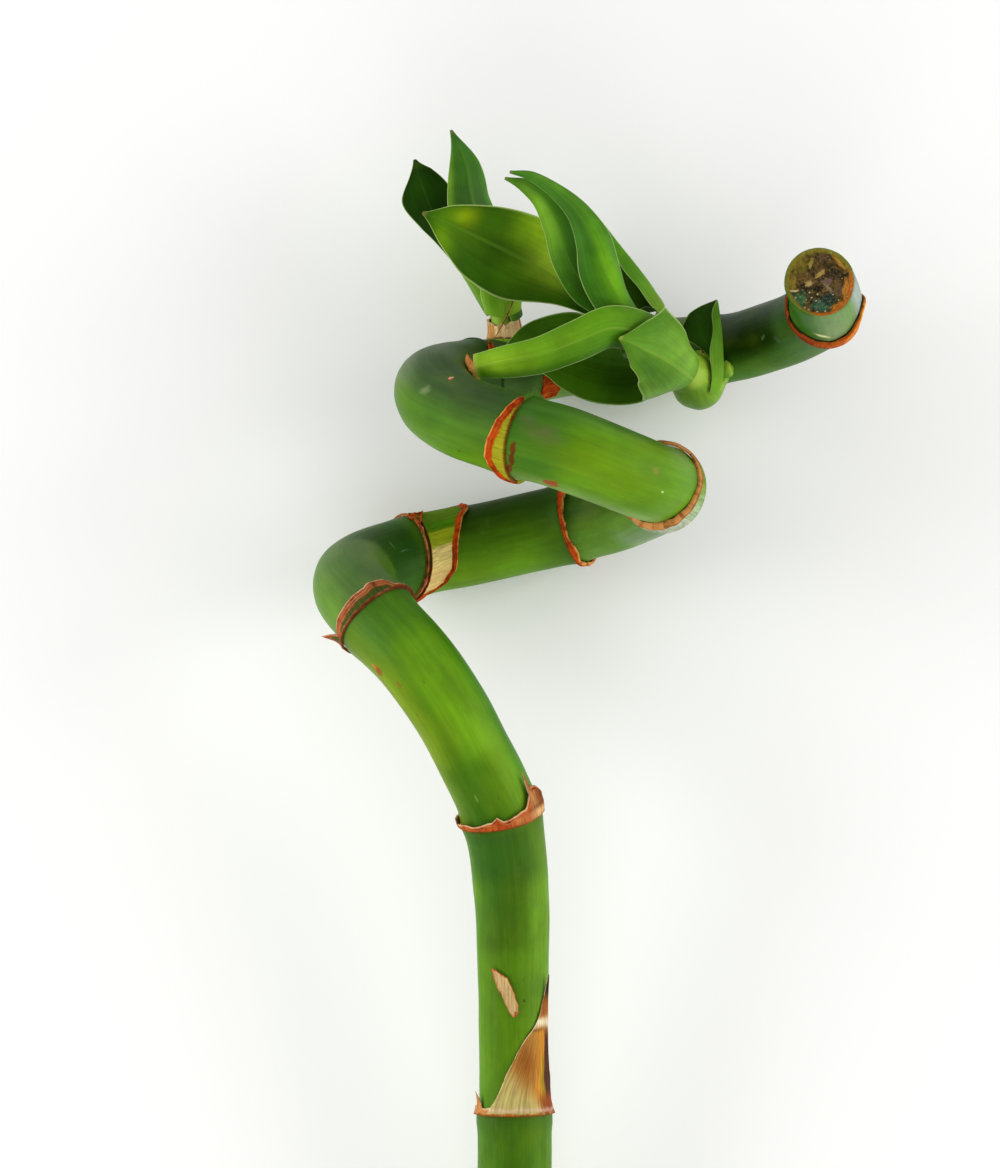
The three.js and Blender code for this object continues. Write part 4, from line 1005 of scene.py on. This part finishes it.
# A thin dry fibre that hangs from the collar of the left shoot down to the stalk.
dryFibre = {"knots": [(0.2, 236.4, -29.4), (-0.9, 233.6, -29.2), (-2.3, 230.6, -29.6), (-4.2, 227.3, -31.2)],
            "radius": 0.15, "sides": 8, "rings": 30, "taper": (0.12, 0.97), "fromEnds": 9}


def makeDryFibre(materials):
    line = smoothLine(dryFibre["knots"], np.linspace(0, 1, dryFibre["rings"]))
    tangent = unit(np.gradient(line, axis=0))
    side = unit(np.cross(tangent, front))[:, None]
    turn = np.arange(dryFibre["sides"])[:, None] * 2 * math.pi / dryFibre["sides"]
    width = dryFibre["radius"] * np.sin(math.pi * np.linspace(*dryFibre["taper"], dryFibre["rings"])) ** 0.5
    spread = side * np.cos(turn) + np.cross(tangent[:, None], side) * np.sin(turn)
    points = line[:, None] + spread * width[:, None, None]
    fields = sheathFields(points, points, 0, dryFibre["fromEnds"], dryFibre["fromEnds"], farAway)
    faces = closedTube(*points.shape[:2])
    addPiece("dryFibre", points, faces, materials["brown"], None, fields)


# Leaves. The face directions give where the hollow side looks from base to tip. A knot is x, y, z, left and
# right half width, curl and, on a folded leaf, fold. Hollow and back are the colours of the two sides, the
# hollow partly darkened by painted shade; the patches lie over them, one over the other, and are mostly
# painted light and shade (lit spots, shaded hollows and edges, painted shadows of leaves in front): share of
# the way to the tip and its reach, share across (-1 left, 1 right) and its reach, side (1 hollow, 0 back),
# colour and share.
leafShape = {"rows": 72, "halfSteps": 14, "fineSteps": 6, "foldRounding": 0.12, "middle": 0.2, "margin": 0.06,
             "keel": 0.22, "keelReach": 0.5, "groove": 0.12, "taper": 0.3, "wave": 0.3, "waveLength": 11,
             "waveShift": 2.2, "wavePower": 3, "thinning": 1.5, "leastWidth": 0.06, "tiny": 1e-3}
leaves = {
    "right_leaf_front_sheath": {
        "look": "light", "hollow": "2c5408", "back": "5f9224",
        "face": [(-0.42, 0.34, -0.84), (-0.25, 0.25, -1), (-0.1, 0.1, -1)],
        "knots": [
            (36.3, 218.6, -20.4, 4.6, 4.6, 0.8), (34.7, 219.7, -16.2, 5.4, 10.4, 0.8),
            (32.4, 221, -12, 7, 9.2, 0.65), (29.6, 222.5, -8.6, 8.8, 7.45, 0.6),
            (27.1, 223.5, -6.4, 9.8, 5.3, 0.5), (25.1, 224.5, -4.9, 6.2, 4.03, 0.4),
            (20.9, 226.2, -3.6, 0.3, 0.3, 0.3)],
        "patches": [
            (0.25, 0.35, -0.6, 0.5, 0, "7fae3c", 0.85), (0.55, 0.25, 0.45, 0.35, 0, "3c6a1e", 0.75),
            (0.3, 0.2, 0.85, 0.2, 0, "8ab44c", 0.6), (0.85, 0.12, 0, 1.5, 0, "62942a", 0.6),
            (0.7, 0.2, -0.7, 0.4, 0, "44781e", 0.6)]},
    "right_leaf_folded_bract": {
        # The bract's hollow colour is mostly painted shade.
        "look": "dark", "hollow": "1e4004", "back": "5c9024", "folded": True,
        "face": [(-0.97, 0, 0.24), (-0.97, 0, 0.24)],
        "knots": [
            (41.6, 215.8, -26, 0.6, 2.4, 0.2, 1.1), (42.5, 219.6, -25, 0.7, 3.2, 0.2, 1.1),
            (42.4, 224.4, -24.8, 3.6, 3.2, 0.2, 1.1), (42.1, 228.8, -24.6, 8.2, 2.6, 0.2, 1.1),
            (41.6, 232.4, -23.6, 6.8, 1.7, 0.2, 1.1), (41.4, 233.9, -23.3, 4, 0.9, 0.2, 1),
            (41.2, 234.9, -23, 0.3, 0.3, 0.1, 0.6)],
        "patches": [
            (0.1, 0.25, 0.5, 0.8, 0, "6c9c20", 0.8), (0.35, 0.3, -0.6, 0.4, 1, "2c5808", 0.7),
            (0.9, 0.12, -0.4, 0.9, 1, "2a5008", 0.6)]},
    "right_leaf_back": {
        "look": "dark", "hollow": "44720a", "back": "3c6c10",
        "face": [(0.42, -0.34, 0.84), (0.1, -0.1, 1), (0, 0, 1)],
        "knots": [
            (28.4, 224.6, -24.6, 4.2, 4.2, 1.1), (24.6, 222, -27.2, 8.4, 8, 1.1),
            (17.5, 222.4, -27.2, 9.4, 10, 0.95), (9.3, 224.2, -24, 7.6, 9.8, 0.8),
            (4.8, 224.6, -21, 5, 7.8, 0.7), (1.4, 224.7, -18.4, 3, 5.2, 0.6),
            (-2.6, 224.3, -15, 0.3, 0.3, 0.3)],
        "patches": [
            (0.2, 0.2, -0.4, 0.8, 1, "1e3e02", 0.8), (0.55, 0.3, 0.6, 0.4, 1, "3c680c", 0.8),
            (0.5, 0.3, -0.8, 0.25, 1, "4a7a14", 0.7)]},
    "right_leaf_low_trough": {
        "look": "light", "hollow": "2c5208", "back": "5c9218",
        "face": [(-0.42, 0.34, -0.84), (-0.1, 0.1, -1), (0, 0, -1)],
        "knots": [
            (33.2, 222.2, -15.4, 5.4, 5.4, 1.2), (26.9, 226.6, -8.4, 5.2, 5.2, 1),
            (19.5, 228.2, -3.6, 4.8, 5, 0.9), (12.6, 225.5, -1.2, 4.5, 4.7, 0.9),
            (5, 222.6, 0, 4.1, 4.3, 0.9), (-2.4, 221.2, -0.8, 3.6, 3.6, 0.8),
            (-8.2, 220.2, -2.6, 2.9, 2.4, 0.7)],
        "patches": [
            (0.9, 0.2, 0.0, 0.8, 0, "98c428", 0.9), (0.55, 0.2, -0.3, 0.4, 0, "74a41c", 0.6),
            (0.28, 0.2, 0.4, 0.6, 0, "42780e", 0.75), (0.5, 0.5, 0.95, 0.3, 0, "35660c", 0.8),
            (0.05, 0.12, 0, 1.5, 0, "3a6c12", 0.7), (0.97, 0.06, 0.6, 0.5, 0, "447c10", 0.8)]},
    "right_leaf_folded_tall": {
        "look": "light", "hollow": "466e0c", "back": "5f9a20", "folded": True,
        "face": [(-0.3, -0.8, 0.55), (-0.8, -0.5, 0.15), (-0.8, -0.6, 0)],
        "knots": [
            (28.4, 229.3, -18.4, 4, 4, 1.1, 0), (30.4, 232.2, -18.6, 6, 3.3, 0.3, 1),
            (28, 236.6, -16.9, 6, 3.3, 0.2, 1.1), (24.9, 240.7, -15.4, 5.5, 3.2, 0.2, 1.1),
            (20.6, 245.9, -13.9, 4.4, 1.4, 0.2, 1.1), (16.8, 250.7, -13, 2.6, 0.4, 0.2, 1.1),
            (14.2, 253.6, -13, 0.3, 0.3, 0.1, 0.8)],
        "patches": [
            (0.15, 0.2, 0.0, 1.5, 0, "90b432", 0.8), (0.7, 0.3, 0.5, 1.0, 0, "4c8a18", 0.6)]},
    "right_leaf_upper_front": {
        "look": "green", "hollow": "204404", "back": "427a1e",
        "face": [(-0.42, 0.34, -0.84), (0, 0.1, -1), (0.1, 0, -1)],
        "knots": [
            (26.4, 226.2, -11.6, 3.2, 4, 1.3), (21.2, 233.6, -6.8, 3.2, 5.6, 1.1),
            (17.7, 239.9, -4.2, 4.3, 5.3, 0.9), (15.7, 245.8, -3.7, 4, 4, 0.8),
            (12.6, 251.6, -5, 2.6, 2.6, 0.7), (7.7, 256.4, -8, 1.6, 1.6, 0.6), (3.1, 259.3, -10.5, 1, 1, 0.4),
            (-1, 260.2, -12, 0.3, 0.3, 0.3)],
        "patches": [
            (0.25, 0.22, -0.25, 0.5, 0, "6ca80c", 0.9), (0.72, 0.25, -0.5, 0.4, 0, "629a26", 0.7),
            (0.5, 0.25, 0.3, 0.35, 0, "2c5e10", 0.75), (0.4, 0.4, 0.95, 0.3, 0, "2a580c", 0.7),
            (0.03, 0.1, 0, 1.5, 0, "2c5c0a", 0.6)]},
    "right_leaf_broad": {
        "look": "green", "hollow": "305c04", "back": "40741a",
        "face": [(0.42, -0.34, 0.84), (0.1, -0.1, 1), (0, 0, 1)],
        "knots": [
            (21.2, 231.6, -14.9, 2.6, 2.6, 1.2), (15.3, 234.2, -18.2, 3, 5.5, 0.8),
            (9.2, 238.5, -18.5, 5.6, 8.8, 0.5), (1.1, 243.1, -17, 9.4, 9.4, 0.4),
            (-7.1, 247, -14.5, 8.6, 7.4, 0.35), (-13.5, 249.9, -12, 4.8, 4, 0.3),
            (-18.6, 251.8, -10.5, 0.3, 0.3, 0.2)],
        "patches": [
            (0.58, 0.14, 0.0, 0.35, 1, "264c02", 0.8), (0.5, 0.14, -0.4, 0.4, 1, "447008", 0.8),
            # The next two bright yellow-green patches are painted light, laid over the shadow of the leaf in
            # front.
            (0.3, 0.08, -0.6, 0.6, 1, "3a6008", 0.6), (0.46, 0.13, 0.8, 0.5, 1, "98c41c", 0.95),
            (0.37, 0.09, 0.25, 0.5, 1, "a0c430", 0.95), (0.63, 0.1, 0.7, 0.3, 1, "346604", 0.6),
            (0.72, 0.08, 0.0, 0.35, 1, "50780c", 0.8), (0.85, 0.08, 0, 1.5, 1, "56840a", 0.8),
            (0.77, 0.05, 0.5, 0.35, 1, "90ac0c", 0.95), (0.83, 0.06, -0.7, 0.4, 1, "6c960c", 0.8),
            (0.12, 0.1, 0, 1.5, 1, "1e4404", 0.8)]},
    "right_leaf_upper_inner": {
        "look": "green", "hollow": "1c3c04", "back": "3f7418",
        "face": [(-0.42, 0.34, -0.84), (0, 0.1, -1), (0.1, 0, -1)],
        "knots": [
            (20.1, 231.4, -11.4, 2.4, 2.4, 1.2), (14.8, 236, -10.4, 4.4, 3.8, 1),
            (10.9, 242.1, -9, 4.4, 3.6, 0.8), (8.9, 248.7, -9, 4, 3.4, 0.7),
            (5.9, 254.3, -10.2, 2.8, 2.6, 0.6), (1.9, 257.5, -12, 1.5, 1.4, 0.4),
            (-2, 259, -12.9, 0.3, 0.3, 0.3)],
        "patches": [
            (0.6, 0.22, 0.5, 0.5, 0, "74a424", 0.85), (0.45, 0.2, -0.5, 0.35, 0, "2c5c12", 0.7),
            (0.85, 0.12, 0, 1.0, 0, "5c8c1e", 0.6), (0.1, 0.2, 0, 1.5, 0, "204a06", 0.8)]},
    "left_leaf_front_sheath": {
        "look": "light", "hollow": "3a6c0c", "back": "6c9c20", "face": [(0, 0, -1), (-0.1, 0, -1)],
        "knots": [
            (-2.2, 232, -31.2, 4.4, 4.4, 1), (-2.6, 235.5, -28.8, 4.6, 4.6, 0.8),
            (-3.6, 240, -26.6, 3.4, 3.4, 0.6), (-5, 244, -25, 0.3, 0.3, 0.4)],
        "patches": [
            (0.3, 0.3, 0.4, 0.4, 0, "4c7c14", 0.6), (0.2, 0.2, -0.7, 0.4, 0, "9cb838", 0.6)]},
    "left_leaf_upright": {
        "look": "green", "hollow": "22480a", "back": "345f18",
        "face": [(-1, 0, 0), (-0.7, 0, -0.7), (-0.3, 0, -1)],
        "knots": [
            (1.5, 232.6, -35.7, 4, 4, 1.15), (-0.3, 238.4, -33.1, 4.8, 4.8, 0.95),
            (-4.8, 246.4, -30, 6.2, 6.2, 0.6), (-8.6, 254.9, -28.2, 6, 5.8, 0.45),
            (-10.2, 263.5, -28.4, 3.4, 3.4, 0.35), (-13.1, 270.3, -30, 0.3, 0.3, 0.2)],
        "patches": [
            (0.5, 0.5, 0.95, 0.22, 0, "7cac30", 0.8), (0.5, 0.5, -0.95, 0.25, 0, "4c8a24", 0.7),
            (0.45, 0.2, -0.1, 0.3, 0, "4c7c3a", 0.6), (0.85, 0.12, 0, 1.5, 0, "3f7420", 0.5)]},
    "left_leaf_outer": {
        "look": "dark", "hollow": "1c3e04", "back": "4c7c1a",
        "face": [(1, 0, 0), (0.5, 0.1, 0.8), (0.1, -0.2, 1)],
        "knots": [
            (-5.6, 232.4, -35.7, 4, 4, 1.25), (-8.8, 238, -36, 4.6, 4.8, 1),
            (-13.2, 246.5, -35.8, 4.8, 6, 0.7), (-16.6, 252.8, -35, 5.3, 5.6, 0.5),
            (-18.6, 257.8, -34, 6, 5.2, 0.35), (-20, 261.8, -33, 1.8, 3, 0.3),
            (-20.6, 264.4, -32, 0.3, 0.3, 0.2)],
        "patches": [
            (0.72, 0.12, -0.3, 0.5, 1, "2c5a06", 0.7), (0.3, 0.3, 0, 1.5, 0, "6c961c", 0.8),
            (0.35, 0.25, -0.6, 0.5, 1, "3c6c10", 0.7), (0.93, 0.05, 0, 1.5, 1, "4a6010", 0.6)]},
}
leafLooks = {
    "light": {"slot": "light_leaf", "vein": "86ac3a", "margin": "bcd488", "tip": "a8b04c"},
    "green": {"slot": "green_leaf", "vein": "5c8a22", "margin": "b8d07c", "tip": "7c7440"},
    "dark": {"slot": "dark_leaf", "vein": "3c6a14", "margin": "90ac5c", "tip": "38401a"},
}


def leafToneAndPaintedLight(leaf, tipward, across, hollow):
    back = rgb(leaf["back"])
    tone = back + hollow[..., None] * (rgb(leaf["hollow"]) - back)
    for t, reach, at, wide, side, hexColour, share in leaf["patches"]:
        cover = share * bell(tipward - t, reach) * bell(across - at, wide) * (hollow == side)
        tone = layOver(tone, cover, hexColour)
    return tone


def halfSection(width, fold, curl):
    steps, fine = leafShape["halfSteps"], leafShape["fineSteps"]
    share = (np.arange(steps * fine) + 0.5) / (steps * fine)
    slope = fold[:, None] * (1 - np.exp(-share / leafShape["foldRounding"])) + curl[:, None] * share
    part = width[:, None] / (steps * fine)
    sections = [np.cumsum(np.cos(slope), 1) * part, np.cumsum(np.sin(slope), 1) * part, slope]
    start = np.zeros((len(width), 1))
    return [np.hstack([start, values[:, fine - 1::fine]]) for values in sections]


def makeLeaf(name, leaf, material):
    rows, steps = leafShape["rows"], leafShape["halfSteps"]
    t = np.linspace(0, 1, rows + 1)
    knots = np.array(leaf["knots"], float)
    centre = smoothLine(knots[:, :3], t)
    ahead, behind = (smoothLine(knots[:, :3], t + sign * leafShape["tiny"]) for sign in (1, -1))
    tangent = unit(ahead - behind)
    facing = np.stack([smoothValue([face[k] for face in leaf["face"]], t) for k in range(3)], -1)
    normal = unit(facing - (facing * tangent).sum(-1, keepdims=True) * tangent)
    right = np.cross(tangent, normal)
    leftWidth, rightWidth = (np.maximum(leafShape["leastWidth"], smoothValue(knots[:, k], t)) for k in (3, 4))
    curl = smoothValue(knots[:, 5], t)
    fold = smoothValue(knots[:, 6], t) if leaf.get("folded") else 0 * t
    leftHalf, rightHalf = halfSection(leftWidth, fold, curl), halfSection(rightWidth, fold, curl)
    x, rise, slope = (np.hstack([sign * left[:, :0:-1], other])
                      for sign, left, other in zip((-1, 1, -1), leftHalf, rightHalf))
    across = np.arange(-steps, steps + 1) / steps
    seed = sum(ord(letter) for letter in name) % 17
    wave = np.sin(2 * math.pi * runOf(centre)[:, None] / leafShape["waveLength"] + seed
                  + leafShape["waveShift"] * (across > 0))
    middling = np.sin(math.pi * t)[:, None]
    rise = rise + leafShape["wave"] * wave * middling * np.abs(across) ** leafShape["wavePower"]
    middle = centre[:, None] + right[:, None] * x[..., None] + normal[:, None] * rise[..., None]
    out = normal[:, None] * np.cos(slope)[..., None] - right[:, None] * np.sin(slope)[..., None]
    inward = 1 - np.abs(across) ** leafShape["thinning"]
    thick = leafShape["margin"] + (leafShape["middle"] - leafShape["margin"]) * inward
    keel = bell(x, leafShape["keelReach"])
    body = middling ** leafShape["taper"]
    upper = thick - leafShape["groove"] * keel * body
    lower = thick + leafShape["keel"] * keel * body
    points = np.hstack([middle + out * upper[..., None], (middle - out * lower[..., None])[:, ::-1]])
    span = 2 * steps + 1
    both, tipward, hollow = (np.broadcast_to(values, points.shape[:2]) for values in (
        np.hstack([across, across[::-1]]), t[:, None], np.repeat([1.0, 0.0], span)))
    faces = gridFaces(*points.shape[:2])
    last = rows * 2 * span
    for v in range(span - 1):
        under = 2 * span - 1 - v
        faces.append([under, under - 1, v + 1, v])
        faces.append([last + v, last + v + 1, last + under - 1, last + under])
    fields = {"across": both, "tipward": tipward, "blade": np.stack([both, tipward, hollow], -1),
              "place": points, "tone": leafToneAndPaintedLight(leaf, tipward, both, hollow)}
    pieceName = name.replace("_leaf", "Leaf").title().replace("_", "")
    addPiece(pieceName, points, faces, material, name, fields)


print("making the stalk")
caneMaterial = makeCaneMaterial()
footRim, topRim = makeStalkPiece(caneMaterial)
makeCutFace("footCut", footRim)
makeCutFace("topCut", topRim)
shootStemMaterial = makeShootStemMaterial()
for stemName, shootStem in shootStems.items():
    makeShootStem(stemName, shootStem, shootStemMaterial)

print("making", len(remnants), "sheath remnants and", len(skinFlakes), "flakes")
sheathMaterials = {key: makeSheathMaterial(key + "Sheath", dict(zip(finishParts, look)))
                   for key, look in sheathFinishes.items()}
for position, remnantSettings in enumerate(remnants):
    makeRemnant(position, remnantSettings, sheathMaterials)
for flakeName, flakeSettings in skinFlakes.items():
    makeFlake(flakeName, flakeSettings, sheathMaterials)
makeDryFibre(sheathMaterials)

print("making", len(leaves), "leaves")
leafMaterials = {key: makeLeafMaterial(key + "Leaf", look) for key, look in leafLooks.items()}
for leafName, leafSettings in leaves.items():
    key = leafSettings["look"]
    makeLeaf(leafName, leafSettings, leafMaterials[key])

# Studio: a pale floor, soft lights and the camera at the photo's viewing angle.
studio = {
    "floor": 3.0, "floorColour": "fbfbf9", "floorRoughness": 0.9, "floorSpecular": 0.1,
    "skyColour": "ffffff", "zenith": 0.48, "horizon": 0.9, "horizonReach": (0.15, 0.9),
    "cameraAt": (-3, 176.8, 1000), "sensor": 36.0, "frameHeight": 233.6, "farthest": 10, "aim": (0, 0, 0.03),
    "lights": [
        {"name": "leftSoft", "at": (-0.9, 0.1, 0.3), "size": 0.8, "watts": 6.4},
        {"name": "rightSoft", "at": (0.9, 0.0, 0.3), "size": 0.8, "watts": 6.0},
        {"name": "footSoft", "at": (0.0, -0.9, 0.5), "size": 0.8, "watts": 3.2},
    ],
}


def makeFloor():
    half = studio["floor"] / 2
    mesh = bpy.data.meshes.new("floor")
    corners = [(-half, -half, 0), (half, -half, 0), (half, half, 0), (-half, half, 0)]
    mesh.from_pydata(corners, [], [(0, 1, 2, 3)])
    material = bpy.data.materials.new("paleFloor")
    material.use_nodes = True
    sockets = material.node_tree.nodes["Principled BSDF"].inputs
    for name, value in (("Base Color", tint(studio["floorColour"])), ("Roughness", studio["floorRoughness"]),
                        ("Specular IOR Level", studio["floorSpecular"]), ("Specular Tint", sheen)):
        sockets[name].default_value = value
    mesh.materials.append(material)
    addObject("floor", mesh)


def makeSky():
    world = bpy.data.worlds.new("softSky")
    world.use_nodes = True
    tree = world.node_tree
    background = tree.nodes["Background"].inputs
    parts = tree.nodes.new("ShaderNodeSeparateXYZ")
    tree.links.new(tree.nodes.new("ShaderNodeTexCoord").outputs["Generated"], parts.inputs[0])
    height = ramp(tree, parts.outputs["Z"], *studio["horizonReach"], studio["horizon"], studio["zenith"])
    tree.links.new(height, background["Strength"])
    background["Color"].default_value = tint(studio["skyColour"])
    bpy.context.scene.world = world


def makeLights():
    for light in studio["lights"]:
        data = bpy.data.lights.new(light["name"], "AREA")
        data.shape = "DISK"
        data.size = light["size"]
        data.energy = light["watts"]
        lamp = addObject(light["name"], data)
        lamp.location = light["at"]
        lamp.rotation_euler = (Vector(studio["aim"]) - lamp.location).to_track_quat("-Z", "Y").to_euler()


def makeCamera():
    camera = bpy.data.cameras.new("photoView")
    camera.sensor_width = studio["sensor"]
    camera.lens = studio["sensor"] * studio["cameraAt"][2] / studio["frameHeight"]
    camera.clip_end = studio["farthest"]
    viewer = addObject("photoView", camera)
    viewer.matrix_world = Matrix.Translation(Vector(layDown(studio["cameraAt"]))) @ Matrix(turnDown).to_4x4()
    bpy.context.scene.camera = viewer
    bpy.context.scene.view_settings.view_transform = "Standard"


print("setting the studio")
makeFloor()
makeSky()
makeLights()
makeCamera()
